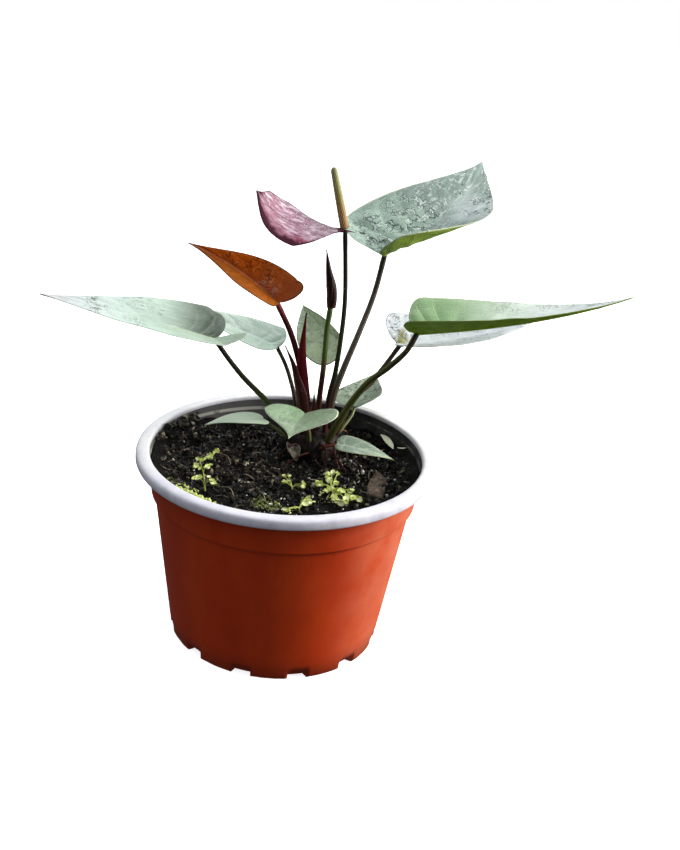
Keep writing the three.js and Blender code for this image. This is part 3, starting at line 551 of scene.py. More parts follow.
peat = bit_finish("peat_crumb", {0.1: (2, 2, 1), 0.5: (8, 7, 5), 0.8: (38, 34, 24),
                                 0.96: (150, 142, 116)}, 0.6)
bark = bit_finish("bark_flake", {0.1: (5, 3, 2), 0.45: (20, 13, 9), 0.75: (60, 46, 34),
                                 0.95: (176, 160, 136)}, 0.65)
straw = bit_finish("dry_fibre", {0.1: (44, 36, 30), 0.5: (92, 80, 66), 0.85: (150, 138, 118),
                                 1.0: (186, 178, 160)})
grit = bit_finish("perlite", {0.1: (150, 146, 138), 0.5: (205, 202, 192), 1.0: (240, 238, 230)}, 0.9)
crumbs = bits("peat_crumbs", peat, "potting_soil", 2600, (0.35, 1.15), (0.45, 1.1), 21,
              [((0, 0), 63, 1.0)], shape=shard(), long=1.5)
flakes = bits("bark_flakes", bark, "bark", 1000, (0.35, 1.2), (0.2, 0.9), 22,
              [((-30, 12), 34, 0.6), ((0, 0), 63, 0.25), ((38, 18), 22, 0.15)], shape=shard(), long=2.4)
greys = bits("grey_pieces", grit, "bark", 150, (0.25, 0.7), (0.3, 1.1), 24,
             [((0, 0), 62, 0.4), ((40, 4), 22, 0.35), ((10, -30), 26, 0.25)], 0.35, shape=shard(), long=1.6)
grains = bits("perlite_grains", grit, "bark", 26, (0.3, 0.75), (0.6, 1.2), 23, [((0, -10), 56, 1.0)], 0.5)
print("bits:", [len(o.data.polygons) for o in (crumbs, flakes, greys, grains)])

# %% [markdown]
# Stalks, roots, fibres and seedling stems are all tubes: rings of points carried along a smooth
# path. The path is the same centripetal spline as the frame's, so that the fine stalk lies
# inside the plain one. The end rings shrink to a point, which closes the tube.

# %% Tubes along a path
def smooth_path(corners, count):
    """A centripetal spline through the corners, cut into equal lengths."""
    p = np.asarray(corners, float)
    p = np.vstack([2 * p[0] - p[1], p, 2 * p[-1] - p[-2]])
    gaps = np.sqrt(np.linalg.norm(np.diff(p, axis=0), axis=1, keepdims=True))
    before, here, after = gaps[:-2], gaps[1:-1], gaps[2:]
    a, b, c, d = p[:-3], p[1:-2], p[2:-1], p[3:]
    leave = ((b - a) / before - (c - a) / (before + here) + (c - b) / here) * here
    arrive = ((c - b) / here - (d - b) / (here + after) + (d - c) / after) * here
    t = np.linspace(0, 1, 24, endpoint=False)[None, :, None]
    square, cube = -3 * b + 3 * c - 2 * leave - arrive, 2 * b - 2 * c + leave + arrive
    fine = b[:, None] + leave[:, None] * t + square[:, None] * t**2 + cube[:, None] * t**3
    fine = np.vstack([fine.reshape(-1, 3), p[-2]])
    length = np.concatenate([[0], np.cumsum(np.linalg.norm(np.diff(fine, axis=0), axis=1))])
    even = np.linspace(0, length[-1], count)
    return np.stack([np.interp(even, length, fine[:, k]) for k in range(3)], -1)


def closed(rings, ends):
    """Rings of points with an end ring before and after that is one point: faces close to it."""
    first, last = (np.broadcast_to(end, (1, *rings.shape[1:])) for end in ends)
    return np.concatenate([first, rings, last])


def tube(corners, radius, sides=14, steps=48, flat=1.0, towards=(1, 0, 0), relief=None):
    """Rings across a path: radius(t) times cosine along the side axis and sine along the other.
    relief(t, angle) is added to the radius. Returns points, faces, share t and angle."""
    path = smooth_path(corners, steps + 1)
    along = unit(np.gradient(path, axis=0))
    side = np.asarray(towards, float) - along * (along @ np.asarray(towards, float))[:, None]
    side = unit(side)
    deep = np.cross(along, side)
    t = np.linspace(0, 1, steps + 1)[:, None]
    angle = np.linspace(0, 2 * np.pi, sides, endpoint=False)[None, :]
    size = radius(t) + (relief(t, angle) if relief else 0 * angle)
    ring = path[:, None] + side[:, None] * (size * np.cos(angle))[..., None]
    ring = ring + deep[:, None] * (size * flat * np.sin(angle))[..., None]
    share = np.concatenate([t[:1], t, t[-1:]]) + 0 * angle
    points = closed(ring, (path[0], path[-1])).reshape(-1, 3)
    return points, grid_quads(steps + 3, sides, wrap=True), share.ravel(), (0 * share + angle).ravel()


def joined(parts):
    """Several (points, faces, ...values) shapes as one, with the face numbers moved on."""
    offsets = np.cumsum([0] + [len(part[0]) for part in parts[:-1]])
    faces = np.concatenate([part[1] + offset for part, offset in zip(parts, offsets)])
    rest = [np.concatenate([part[k] for part in parts]) for k in range(2, len(parts[0]))]
    return (np.concatenate([part[0] for part in parts]), faces, *rest)


def fibre(random, place, length, thick, lift):
    """One thin fibre: a short arched path laid across the soil at a random heading."""
    heading, bow = random.uniform(0, 2 * np.pi), random.uniform(-0.25, 0.25)
    ahead = np.array([math.cos(heading), math.sin(heading)])
    across = np.array([-ahead[1], ahead[0]])
    share = np.linspace(-0.5, 0.5, 5)[:, None]
    plan = place[:2] + ahead * length * share + across * bow * length * (1 - 4 * share**2)
    plan *= np.minimum(1, BITS_REACH / np.hypot(*plan.T))[:, None]
    rise = lift * (1 - 4 * share[:, 0] ** 2) + 0.35
    path = np.column_stack([plan, soil_waves(*plan.T) + rise])
    taper = lambda t: thick * (0.35 + 0.65 * np.sin(np.pi * np.clip(t, 0.03, 0.97)))
    made = tube(path, taper, 5, 8, towards=(0, 0, 1))
    return (*made, np.full(len(made[0]), random.uniform(0, 1)))


def fibres(name, finish, count, patch, length, thick, lift, seed):
    """Many fibres in one piece, each with its own shade."""
    random = np.random.default_rng(seed)
    places = disc_places(random, count, *patch)
    ranges = (length, thick, lift)
    parts = [fibre(random, place, *(random.uniform(*pair) for pair in ranges)) for place in places]
    points, faces, _, _, shade = joined(parts)
    return make_piece(name, points, faces, finish, "bark", values={"shade": shade})


strands = fibres("root_fibres", straw, 70, ((-4, -14), 58), (4, 13), (0.1, 0.24), (0, 0.9), 31)
splinters = fibres("bark_splinters", bark, 90, ((-24, 4), 44), (3, 8), (0.25, 0.6), (0, 0.8), 32)
print("fibres:", len(strands.data.polygons), len(splinters.data.polygons))

# %% [markdown]
# A leaf blade is heart shaped: a midrib that bends and twists through space, and on each side of
# it a half outline made of two curves, one round the back lobe and one along the side to the
# tip. The halves are folded up about the midrib and can curl further outward. These are the same
# formulas and numbers as the frame's, on a grid fine enough for veins.

# %% Blade shape
LOBE_SHARE, RIB_CROWDING = 0.42, 1.7
DEFAULTS = {"widest": 0.06, "lobe_spread": 0.6, "tip": 0.25, "shoulder": 0.22, "sweep": 0, "twist": 0,
            "fold_tip": 0.6, "lobe_lift": 0, "curl_left": 0, "curl_right": 0}


def bezier(corners, t):
    """A cubic curve: the four corners weighted by (1-t)^3, 3t(1-t)^2, 3t^2(1-t) and t^3."""
    t = np.asarray(t, float)[..., None]
    a, b, c, d = (np.asarray(corner, float) for corner in corners)
    return a * (1 - t) ** 3 + b * 3 * t * (1 - t) ** 2 + c * 3 * t * t * (1 - t) + d * t**3


def half_outline(leaf, back, t):
    """Edge of one half at share t: round the lobe for the first part, then along the side."""
    length, half, widest = leaf["length"], leaf["width"] / 2, leaf["widest"] * leaf["length"]
    lobe = [[0, 0], [-back * 1.1, half * 0.08],
            [-back * 1.55, half * (0.4 + leaf["lobe_spread"])], [widest, half]]
    side = [[widest, half], [widest + 0.36 * length, half * 0.98],
            [length * (1 - leaf["tip"]), half * leaf["shoulder"]], [length, 0]]
    first, second = np.clip([t / LOBE_SHARE, (t - LOBE_SHARE) / (1 - LOBE_SHARE)], 0, 1)
    return np.where((t < LOBE_SHARE)[..., None], bezier(lobe, first), bezier(side, second))


def rib_frames(leaf, steps=80):
    """The midrib's place and axes: direction from pitch and heading, turned about itself by roll."""
    s = np.linspace(0, 1, steps + 1)
    rise = np.radians(leaf["pitch"] + leaf["bend"] * s**1.5)
    turn = np.radians(leaf["heading"] + leaf["sweep"] * s)
    lean = np.radians(leaf["roll"] + leaf["twist"] * s)[:, None]
    along = np.stack([np.cos(rise) * np.cos(turn), np.cos(rise) * np.sin(turn), np.sin(rise)], -1)
    level = np.stack([-np.sin(turn), np.cos(turn), 0 * turn], -1)
    above = np.cross(along, level)
    left, out = level * np.cos(lean) + above * np.sin(lean), above * np.cos(lean) - level * np.sin(lean)
    hops = (along[1:] + along[:-1]) / 2 * leaf["length"] / steps
    place = np.array(leaf["attach"]) + np.vstack([[0, 0, 0], np.cumsum(hops, 0)])
    return s, place, along, left, out


def blade_points(leaf, x, y, side):
    """From flat x along the rib and y outward to space: fold and curl each half about the rib."""
    s, place, along, left, out = rib_frames(leaf)
    share = np.clip(x / leaf["length"], 0, 1)
    at = lambda table: np.stack([np.interp(share, s, table[:, k]) for k in range(3)], -1)
    pick = lambda key: np.where(side > 0, leaf[key + "_left"], leaf[key + "_right"])
    angle = np.radians(pick("fold")) * (1 + (pick("fold_tip") - 1) * share)
    curl = np.radians(pick("curl")) / (leaf["width"] / 2)
    curl = np.where(np.abs(curl) < 1e-6, 1e-6, curl)
    outward = (np.sin(angle + curl * y) - np.sin(angle)) / curl
    rise = (np.cos(angle) - np.cos(angle + curl * y)) / curl
    behind = np.minimum(x, 0)
    rise = rise - behind * math.tan(math.radians(leaf["lobe_lift"]))
    moves = ((along, behind), (left, outward * side), (out, rise))
    return at(place) + sum(at(axis) * move[..., None] for axis, move in moves)


def complete(leaf):
    """A leaf's numbers with the usual ones filled in and both sides named."""
    full = {**DEFAULTS, **leaf}
    for side in ("left", "right"):
        full.setdefault(f"fold_tip_{side}", full["fold_tip"])
        full.setdefault(f"lobe_{side}", full["lobe"])
    return full


def sheet_normals(points):
    """Unit normals of a grid: the cross product of its two slopes, with both poles averaged."""
    normal = np.cross(np.gradient(points, axis=0), np.gradient(points, axis=1))
    normal[0], normal[-1] = normal[1].mean(0), normal[-2].mean(0)
    return normal / np.maximum(np.linalg.norm(normal, axis=-1, keepdims=True), 1e-12)


def blade_grid(leaf, rows, columns):
    """Straight rows from rib to edge: share t down the rib, w outward, and the flat x and y."""
    t = np.linspace(0, 1, rows + 1)[:, None] + np.zeros(2 * columns + 1)
    c = np.linspace(-1, 1, 2 * columns + 1) + np.zeros((rows + 1, 1))
    side, w = np.where(c >= 0, 1.0, -1.0), np.abs(c)
    edges = [half_outline(leaf, leaf[f"lobe_{name}"] * leaf["length"], t) for name in ("left", "right")]
    edge = np.where((side > 0)[..., None], *edges)
    rib = leaf["length"] * t**RIB_CROWDING
    x, y = rib + w * (edge[..., 0] - rib), w * edge[..., 1]
    return {"t": t, "w": w, "side": side, "x": x, "y": y, "middle": blade_points(leaf, x, y, side)}


print("blade formulas ready")

# %% [markdown]
# The veins leave the midrib one after another and lean towards the tip as they run outward. The
# blade puffs up a little between them, and one thin vein follows the margin. The rows of the
# grid already fan out round the lobes, so a vein is where the row share, less a lean that grows
# outward, passes a whole number.

# %% Veins and thickness
BLADE_HALF, KEEL = 0.36, 0.75


def vein_pattern(grid, count, lean=0.17):
    """Vein mask and quilt height: a narrow and a wide bell curve on the distance to a vein."""
    t, w = grid["t"], grid["w"]
    phase = (t - lean * w**1.2 * ease(t, 0.05, 0.6)) * count + 0.25
    away = np.abs(phase - np.round(phase))
    fade = ease(w, 0, 0.05) * (1 - ease(w, 0.86, 0.95))
    vein = np.exp(-((away / (0.11 - 0.05 * w)) ** 2)) * fade
    margin = 0.6 * np.exp(-(((w - 0.92) / 0.018) ** 2)) * ease(t, 0.05, 0.15)
    rib = np.exp(-((grid["y"] / (0.5 + 0.7 * (1 - t))) ** 2))
    quilt = (1 - np.exp(-((away / 0.3) ** 2))) * ease(w, 0.03, 0.25) * (1 - ease(w, 0.75, 0.97))
    ends = ease(t, 0.02, 0.12) * (1 - ease(t, 0.88, 0.98))
    return np.maximum(vein, margin) * ends, rib * (1 - ease(t, 0.95, 1)), quilt * ends


def blade_shell(leaf, rows, columns, veins, puff, ripple=0.0, seed=1):
    """A closed blade: the puffed middle surface moved up and down by half its thickness."""
    grid = blade_grid(leaf, rows, columns)
    vein, rib, quilt = vein_pattern(grid, veins)
    middle = grid["middle"]
    normal = sheet_normals(middle)
    waves = hills(grid["x"] * 0.5, grid["y"], 6, seed) * ripple
    waves = waves * ease(grid["w"], 0, 0.3) * ease(1 - grid["t"], 0.03, 0.25)
    middle = middle + normal * (puff * quilt + waves)[..., None]
    normal = sheet_normals(middle)
    thin = BLADE_HALF * (1 - 0.6 * grid["w"] ** 8)
    keel = KEEL * np.exp(-(grid["y"] ** 2)) * (1 - grid["t"]) ** 0.5 + 0.12 * vein
    top, bottom = middle + normal * thin[..., None], middle - normal * (thin + keel)[..., None]
    wide = 2 * columns + 1
    count = (rows + 1) * wide
    upper = grid_quads(rows + 1, wide)
    lower = grid_quads(rows + 1, wide, first=count)[:, ::-1]
    i = np.arange(rows) * wide
    j = i + wide - 1
    right = np.stack([i, i + count, i + wide + count, i + wide], -1)
    left = np.stack([j + wide, j + wide + count, j + count, j], -1)
    values = {"along": grid["x"] / leaf["length"], "across": grid["w"], "side": grid["side"],
              "vein": vein, "rib": rib}
    values = {key: np.concatenate([value.ravel(), value.ravel()]) for key, value in values.items()}
    values["under"] = np.concatenate([np.zeros(count), np.ones(count)])
    flat = {"flat_x": grid["x"], "flat_y": grid["y"] * grid["side"]}
    values.update({key: np.tile(value.ravel(), 2) for key, value in flat.items()})
    points = np.concatenate([top.reshape(-1, 3), bottom.reshape(-1, 3)])
    return points, np.concatenate([upper, lower, right, left]), values, (top, normal)


print("vein formulas ready")

# %% [markdown]
# One finish serves every leaf. Its top colour runs along the midrib and pales towards the tip,
# partly from the young waxy surface and partly as painted sheen. Pale streaks of painted
# highlight, painted shadows and a fine mottle lie over that, then patches, each on a stretch of
# the rib and a band of the width. Veins are paler, and water drops are painted as dark outlines,
# the look of a drop's refracting edge, each with a painted glint beside it. The underside is
# another colour, and the margin is a thin light line. Fine bumps come from a small cell pattern,
# the netted veins between the large ones. A thin blade that hangs in front of the light has a
# little painted glow in its own colour, emission for the light that shines through it.

# %% Leaf finish
def stretch_of(along, across, side, half, run, outward):
    """1 on a stretch of the rib and a band of the width, on one half, or on both where half is 0."""
    rise, full, fade, end = run
    part = along.between(rise, full) * (1 - along.between(fade, end)) * across.between(*outward)
    return part * (side * half).between(-0.2, 0.2) if half else part


def painted_drops(flat, size):
    """Painted water drops: a dark line where a noise passes its middle, the look of a drop's
    refracting edge, a pale twin beside it as a painted glint, and both only in patches of a wider noise."""
    field = flat.noise(size, 2, 0.5)
    line = 1 - field.math("ABSOLUTE", field - 0.5).between(0.02, 0.06)
    twin = field.between(0.54, 0.57) * (1 - field.between(0.6, 0.64))
    patch = flat.noise(0.13, 2).between(0.42, 0.54)
    return line * patch, twin * patch


def flat_place(tree):
    """A blade's flat coordinates, in millimetres, as a vector."""
    return tree.node("CombineXYZ", {}, dict(enumerate(tree.stored("flat_x", "flat_y"))))


# What a leaf's look holds unless it says otherwise: colours, strengths, and pairs of the two.
PLAIN_LOOK = {"streaks": ((225, 236, 230), 0.3), "streak_stretch": (0.22, 1.0, 1.0),
              "shadows": ((90, 115, 100), 0.2), "mottle": 0.18, "drift": 0.14, "patches": (), "marks": (),
              "glint": (236, 244, 242), "back_veins": 0.3, "rim_strength": 0.7, "creases": 0.8,
              "shine": 0.35, "coat": 0.2, "glow": 0.0, "vein": ((200, 216, 206), 0.35),
              "rim": (206, 214, 178)}


def leaf_finish(name, look):
    """Ramp along the rib, then streaks, patches, veins, marks, underside and rim, in that order."""
    material, tree = new_finish(name)
    along, across, side, under, vein, rib = tree.stored("along", "across", "side", "under", "vein", "rib")
    flat = flat_place(tree)
    cloud = flat.noise(0.12, 3, 0.6)
    place = (along * 0.8 + 0.2) + (cloud - 0.5) * look["drift"]
    # The top pales towards the tip: partly waxy bloom, partly painted sheen.
    top = place.ramp({0.04 + 0.92 * share: colour for share, colour in look["top"].items()})
    streaks = flat.noise(0.5, 4, 0.6, stretch=look["streak_stretch"])
    # Painted highlights: where the streak noise is high the top turns pale, as light on the creases; painted
    # shadows fill the troughs.
    pale, strength = look["streaks"]
    top = (streaks.between(0.52, 0.66) * strength).mix(top, pale)
    shade, strength = look["shadows"]
    top = ((1 - streaks.between(0.3, 0.45)) * strength).mix(top, shade)
    top = (flat.noise(1.6, 4, 0.65).between(0.42, 0.7) * look["mottle"]).mix(top, pale)
    for half, colour, strength, run, outward in look["patches"]:
        part = stretch_of(along, across, side, half, run, outward) * strength
        top = (part * (0.75 + 0.5 * cloud)).mix(top, colour)
    colour, strength = look["vein"]
    top = (vein * strength).mix(top, colour)
    top = (rib * look.get("rib_strength", strength)).mix(top, look.get("rib", colour))
    dents = flat.noise(1.1, 2) * 0.1
    # Marks are painted water drops: a dark outline in the mark's colour and a painted glint in the glint
    # colour.
    for half, colour, strength, size, run, outward in look["marks"]:
        line, twin = painted_drops(flat, size)
        part = stretch_of(along, across, side, half, run, outward) * strength
        top = (part * line).mix((part * twin * 0.45).mix(top, look["glint"]), colour)
        dents = dents + part * (twin - line)
    back = flat.noise(0.25, 3, 0.6).ramp({0.3: look["under"][0], 0.7: look["under"][1]})
    back = (vein * look["back_veins"] + rib * 0.35).mix(back, look["under"][2])
    colour = under.between(0.4, 0.6).mix(top, back)
    colour = (across.between(0.965, 0.985) * look["rim_strength"]).mix(colour, look["rim"])
    # Painted shade: a darker band in the fold beside the rib, on one half of the top.
    if "valley_shade" in look:
        tone, strength, half = look["valley_shade"]
        valley_shade = (side * half).between(-0.2, 0.2) * (1 - across.between(0.02, 0.4)) * (1 - rib) * (1 - under)
        colour = (valley_shade * strength).mix(colour, tone)
    net = flat.node("TexVoronoi", {"feature": "DISTANCE_TO_EDGE"}, {"Vector": flat, "Scale": 0.9})
    relief = flat.noise(2.2, 4, 0.6) * 0.7 + net.between(0.0, 0.25) * 0.5 - vein * 0.5
    relief = relief + streaks * look["creases"] + dents
    # Painted glow: emission in the leaf's own colour stands in for light that shines through a thin blade.
    gloss = {"IOR": 1.45, "Coat Roughness": 0.14, "Specular IOR Level": look["shine"],
             "Emission Strength": look["glow"]}
    return close_finish(material, gloss, Base_Color=colour, Emission_Color=colour,
                        Roughness=0.36 + 0.16 * streaks + under * 0.12,
                        Coat_Weight=(1 - under) * look["coat"], Normal=bumped(relief, 0.55, 0.0005))


# What each leaf's look sets of its own. patches: half, colour, strength, the shares of the rib where
# it rises, is full, fades and ends, and the shares of the width where it grows from 0 to 1. marks,
# the painted water drops: the same with a size after the strength. A half is 1 for left, -1 for
# right and 0 for both. ROOT and TIP are pairs of shares beyond the rib's two ends, and WIDE one
# before the width's start. A valley shade is painted shade in a soft band beside the rib: colour,
# strength and half. The underside has three colours, the last of them for its veins.
ROOT, TIP, WIDE = (-2, -1), (2, 3), (-2, -1)
OLIVE = ((104, 142, 4), (126, 160, 16), (170, 188, 84))
GREY_BACK = ((112, 134, 104), (138, 158, 128), (176, 190, 160))
LEAF_LOOKS = {
    "upper_right": {
        "top": {0: (146, 172, 154), 0.3: (96, 116, 104), 0.7: (98, 118, 108), 1: (104, 122, 114)},
        "patches": [(1, (168, 194, 176), 0.7, (*ROOT, 0.15, 0.5), WIDE),
            # This patch and the next are painted sheen.
            (-1, (212, 222, 226), 0.32, (0.34, 0.44, 0.56, 0.72), (0.05, 0.3)),
            (0, (222, 234, 234), 0.25, (0.45, 0.52, 0.68, 0.76), (0.3, 0.05))],
        "marks": [(1, (54, 80, 72), 0.9, 0.27, (*ROOT, 0.36, 0.56), (1.2, 0.5)),
            (1, (104, 128, 120), 0.6, 0.24, (0.36, 0.5, 0.8, 0.9), (-0.1, 0.1)),
            (-1, (66, 92, 84), 0.85, 0.3, (*ROOT, 0.3, 0.4), (-0.1, 0.1)),
            (-1, (52, 68, 72), 1.0, 0.34, (0.4, 0.5, 0.7, 0.76), (0.1, 0.5))],
        "vein": ((160, 180, 170), 0.14), "under": ((116, 142, 30), (138, 160, 44), (170, 180, 96)),
        "rim": (196, 208, 180), "rib_strength": 0.4, "streaks": ((222, 236, 236), 0.3),
        "shadows": ((88, 114, 104), 0.5), "creases": 1.6,
    },
    "long_right": {
        # The near-white far half is partly waxy bloom and partly painted sheen.
        "top": {0: (160, 200, 140), 0.3: (176, 216, 160), 0.5: (224, 240, 220), 0.7: (226, 234, 230),
            1: (222, 228, 228)},
        "vein": ((200, 228, 186), 0.25), "under": ((126, 172, 2), (150, 192, 12), (180, 204, 80)),
        "rim": (176, 196, 128), "drift": 0.1,
        "marks": [(1, (112, 130, 110), 0.5, 0.3, (0.3, 0.4, 0.9, 1), (0.3, 0.6))], "shine": 0.25,
    },
    "second_right": {
        # The lilac white of this top is partly painted sheen on a pale leaf.
        "top": {0: (204, 208, 216), 0.4: (226, 230, 240), 1: (232, 236, 244)},
        "vein": ((240, 242, 246), 0.4), "under": ((128, 140, 40), (150, 158, 60), (190, 190, 110)),
        "rim": (190, 196, 190),
        "patches": [(1, (140, 138, 10), 0.95, (*ROOT, 0.04, 0.08), (0.62, 0.4)),
            (0, (180, 190, 196), 0.5, (0.1, 0.3, 0.5, 0.8), (0.1, 0.5))],
        "marks": [(1, (84, 86, 66), 0.9, 0.4, (*ROOT, 0.08, 0.14), (0.1, 0.3)),
            (0, (150, 156, 160), 0.5, 0.25, (0.2, 0.3, *TIP), (0, 0.2))],
        "shadows": ((174, 182, 192), 0.4),
    },
    "long_left": {
        "top": {0: (150, 172, 146), 0.3: (178, 202, 180), 0.62: (204, 226, 212), 0.84: (216, 226, 226),
            1: (208, 204, 206)},
        "patches": [(-1, (56, 74, 54), 0.95, (*ROOT, 0.02, 0.36), WIDE),
            (1, (190, 212, 170), 0.5, (*ROOT, 0.2, 0.4), (0.5, 0.1))],
        "vein": ((206, 222, 200), 0.1),
        "marks": [(0, (96, 106, 96), 0.85, 0.42, (0.6, 0.65, 0.72, 0.78), (0, 0.2)),
            (1, (120, 132, 120), 0.6, 0.35, (0.4, 0.44, 0.52, 0.56), (0, 0.2))],
        "under": GREY_BACK, "rim": (168, 184, 168), "streaks": ((226, 238, 226), 0.6),
        "shadows": ((118, 140, 120), 0.45), "streak_stretch": (0.12, 1.4, 1.0),
    },
    "second_left": {
        "top": {0: (150, 180, 156), 0.4: (188, 212, 192), 1: (214, 230, 216)},
        "vein": ((226, 238, 232), 0.4), "under": GREY_BACK, "rim": (190, 206, 194),
        "streaks": ((232, 244, 240), 0.6),
    },
    "young": {
        "top": {0: (166, 92, 66), 0.2: (204, 104, 48), 0.6: (216, 108, 30), 0.88: (200, 88, 28),
            1: (80, 36, 22)},
        # The first patch darkens the lower, left half to brown gold: painted shade.
        "patches": [(1, (140, 78, 22), 0.85, (*ROOT, 0.75, 1.0), WIDE),
            (-1, (196, 116, 84), 0.5, (0.02, 0.06, 0.2, 0.26), (0.5, 0.25)),
            (-1, (236, 110, 18), 0.6, (0.25, 0.35, 0.7, 0.9), (0.2, 0.5))],
        "marks": [(-1, (240, 196, 160), 0.5, 0.4, (0.02, 0.06, 0.24, 0.32), (0.6, 0.4)),
            (-1, (112, 44, 12), 0.6, 0.3, (0.1, 0.2, 0.6, 0.8), (0.1, 0.3))],
        "glint": (240, 150, 70), "vein": ((226, 124, 56), 0.2), "rib": (226, 140, 100),
        "rib_strength": 0.95, "valley_shade": ((96, 40, 18), 0.35, -1),
        "under": ((96, 44, 8), (116, 54, 12), (150, 84, 32)), "rim": (60, 40, 14), "rim_strength": 0.9,
        "streaks": ((226, 112, 14), 0.4), "shadows": ((134, 56, 14), 0.5), "mottle": 0.02, "creases": 0.6,
        "shine": 0.08, "coat": 0.0,
    },
    "back": {
        "top": {0: (214, 236, 184), 0.5: (204, 226, 178), 1: (186, 206, 166)},
        "vein": ((240, 248, 240), 0.6), "under": ((170, 204, 138), (206, 232, 186), (240, 250, 230)),
        # This blade has a little painted glow.
        "rim": (60, 78, 56), "back_veins": 0.7, "glow": 0.07,
        "marks": [(0, (120, 140, 110), 0.5, 0.3, (*ROOT, *TIP), (0, 0.2))],
    },
    "low_back": {
        "top": {0: (112, 130, 104), 0.5: (120, 136, 112), 1: (136, 150, 126)},
        "vein": ((170, 184, 166), 0.3), "under": ((98, 112, 92), (112, 126, 104), (146, 158, 136)),
        "rim": (170, 182, 164), "glint": (176, 190, 170),
        "marks": [(0, (34, 46, 32), 0.95, 0.36, (0.05, 0.15, 0.8, 0.9), (0, 0.2))],
    },
    "heart": {
        "top": {0: (150, 186, 134), 0.5: (158, 190, 142), 1: (184, 204, 166)},
        "patches": [(1, (146, 164, 132), 0.7, (*ROOT, 0.3, 0.9), WIDE)], "vein": ((190, 214, 186), 0.08),
        "under": OLIVE, "marks": [(0, (112, 138, 104), 0.4, 0.22, (*ROOT, *TIP), (0, 0.2))],
        "rim": (230, 238, 214), "rim_strength": 0.9,
    },
    "low_left": {
        "top": {0: (198, 220, 190), 0.6: (206, 226, 198), 1: (210, 228, 202)},
        "vein": ((214, 230, 208), 0.2), "under": OLIVE, "rim": (214, 226, 198),
    },
    "low_right": {
        "top": {0: (112, 134, 116), 0.6: (126, 146, 128), 1: (176, 194, 168)},
        "vein": ((200, 216, 190), 0.35), "under": OLIVE, "rim": (216, 222, 172),
    },
}
print("leaf looks:", len(LEAF_LOOKS))

# %% [markdown]
# The eleven leaves. Angles are in degrees: heading 0 points right and 90 away from the viewer,
# pitch is the rise of the midrib at its start, roll lifts the left half, and the folds lift each
# half about the midrib. Sweep, bend and twist are what heading, pitch and roll gain by the tip.
# Each blade and stalk stands for its plain solid in the frame.

# %% Leaf numbers
LEAVES = {
    "upper_right": dict(
        attach=(41, 35.7, 197.4), length=107, width=68, lobe=0.09, lobe_spread=0.61, shoulder=0.24,
        heading=33, sweep=47, pitch=21, bend=-4, roll=4, twist=24, fold_left=17, fold_right=25,
        curl_right=29, fold_tip_left=0, fold_tip_right=-0.15, lobe_lift=25,
    ),
    "long_right": dict(
        attach=(60.1, 16.7, 163.3), length=107, width=52, lobe=0.05, lobe_spread=0.81, shoulder=0.21,
        heading=-9, pitch=12, bend=15, roll=15, twist=-9, fold_left=17, fold_right=48, curl_left=-11,
        curl_right=-4, fold_tip_left=0.16, fold_tip_right=0.52,
    ),
    "second_right": dict(
        attach=(54.9, 45, 146.4), length=76, width=58, lobe=0.07, lobe_spread=0.78, shoulder=0.33,
        heading=6, pitch=8, bend=16, roll=1, fold_left=16, fold_right=20, fold_tip=0.24, lobe_lift=12,
    ),
    "long_left": dict(
        attach=(-41.4, 27.6, 147.1), length=90, width=50, lobe=0.135, lobe_right=0.06, lobe_spread=0.38,
        widest=0.044, shoulder=0.2, heading=193.4, pitch=16, bend=-3, roll=-2.3, twist=-7.2,
        fold_left=14.5, fold_right=19.4, fold_tip=0.37, lobe_lift=36,
    ),
    "second_left": dict(
        attach=(-9.8, 45, 139.5), length=62.5, width=26.4, lobe=0.033, lobe_spread=0.26, heading=151.8,
        pitch=9, bend=0, roll=-15.5, fold_left=20.6, fold_right=12.5, fold_tip=0.7, lobe_lift=13.5,
    ),
    "young": dict(
        attach=(-11.1, 21.6, 171.5), length=53.7, width=31.6, lobe=0.03, lobe_right=0.11, widest=0.03,
        shoulder=0.15, tip=0.35, heading=165.7, sweep=22, pitch=35.9, bend=-16.9, roll=-24.1, twist=-40.8,
        fold_left=37, fold_right=59.3, fold_tip=0.53, lobe_lift=36.2,
    ),
    "back": dict(
        attach=(21.3, 44.2, 147.6), length=35.8, width=35.3, lobe=0.29, lobe_spread=0.69, widest=0.28,
        shoulder=0.46, tip=0.2, heading=123, pitch=2.2, bend=26.2, roll=-92.5, twist=1, fold_left=38.2,
        fold_right=37.6, fold_tip=1.17,
    ),
    "low_back": dict(
        attach=(34.4, 41.6, 110.9), length=39.4, width=29.3, lobe=0.16, lobe_spread=0.3, shoulder=0.33,
        tip=0.13, heading=73, pitch=-2.9, bend=25.6, roll=-0.8, fold_left=15.4, fold_right=31,
        fold_tip=0.81,
    ),
    "heart": dict(
        attach=(7.3, 6.4, 118.2), length=20.4, width=40.4, lobe=0.265, lobe_spread=0.55, widest=0.16,
        shoulder=0.085, tip=0.34, heading=-112, pitch=-6, bend=-27.6, roll=-1.1, fold_left=20.6,
        fold_right=1.7, fold_tip=0.5,
    ),
    "low_left": dict(
        attach=(-13.9, 25.3, 105.8), length=32, width=20, lobe=0.05, widest=0.12, heading=202, pitch=9,
        bend=-26, roll=0, fold_left=8, fold_right=-3, fold_tip=0.8,
    ),
    "low_right": dict(
        attach=(25.9, 9.6, 102), length=30, width=14, lobe=0.05, widest=0.15, heading=-12, pitch=-1,
        bend=-14, roll=7, fold_left=20, fold_right=8, fold_tip=0.8,
    ),
}
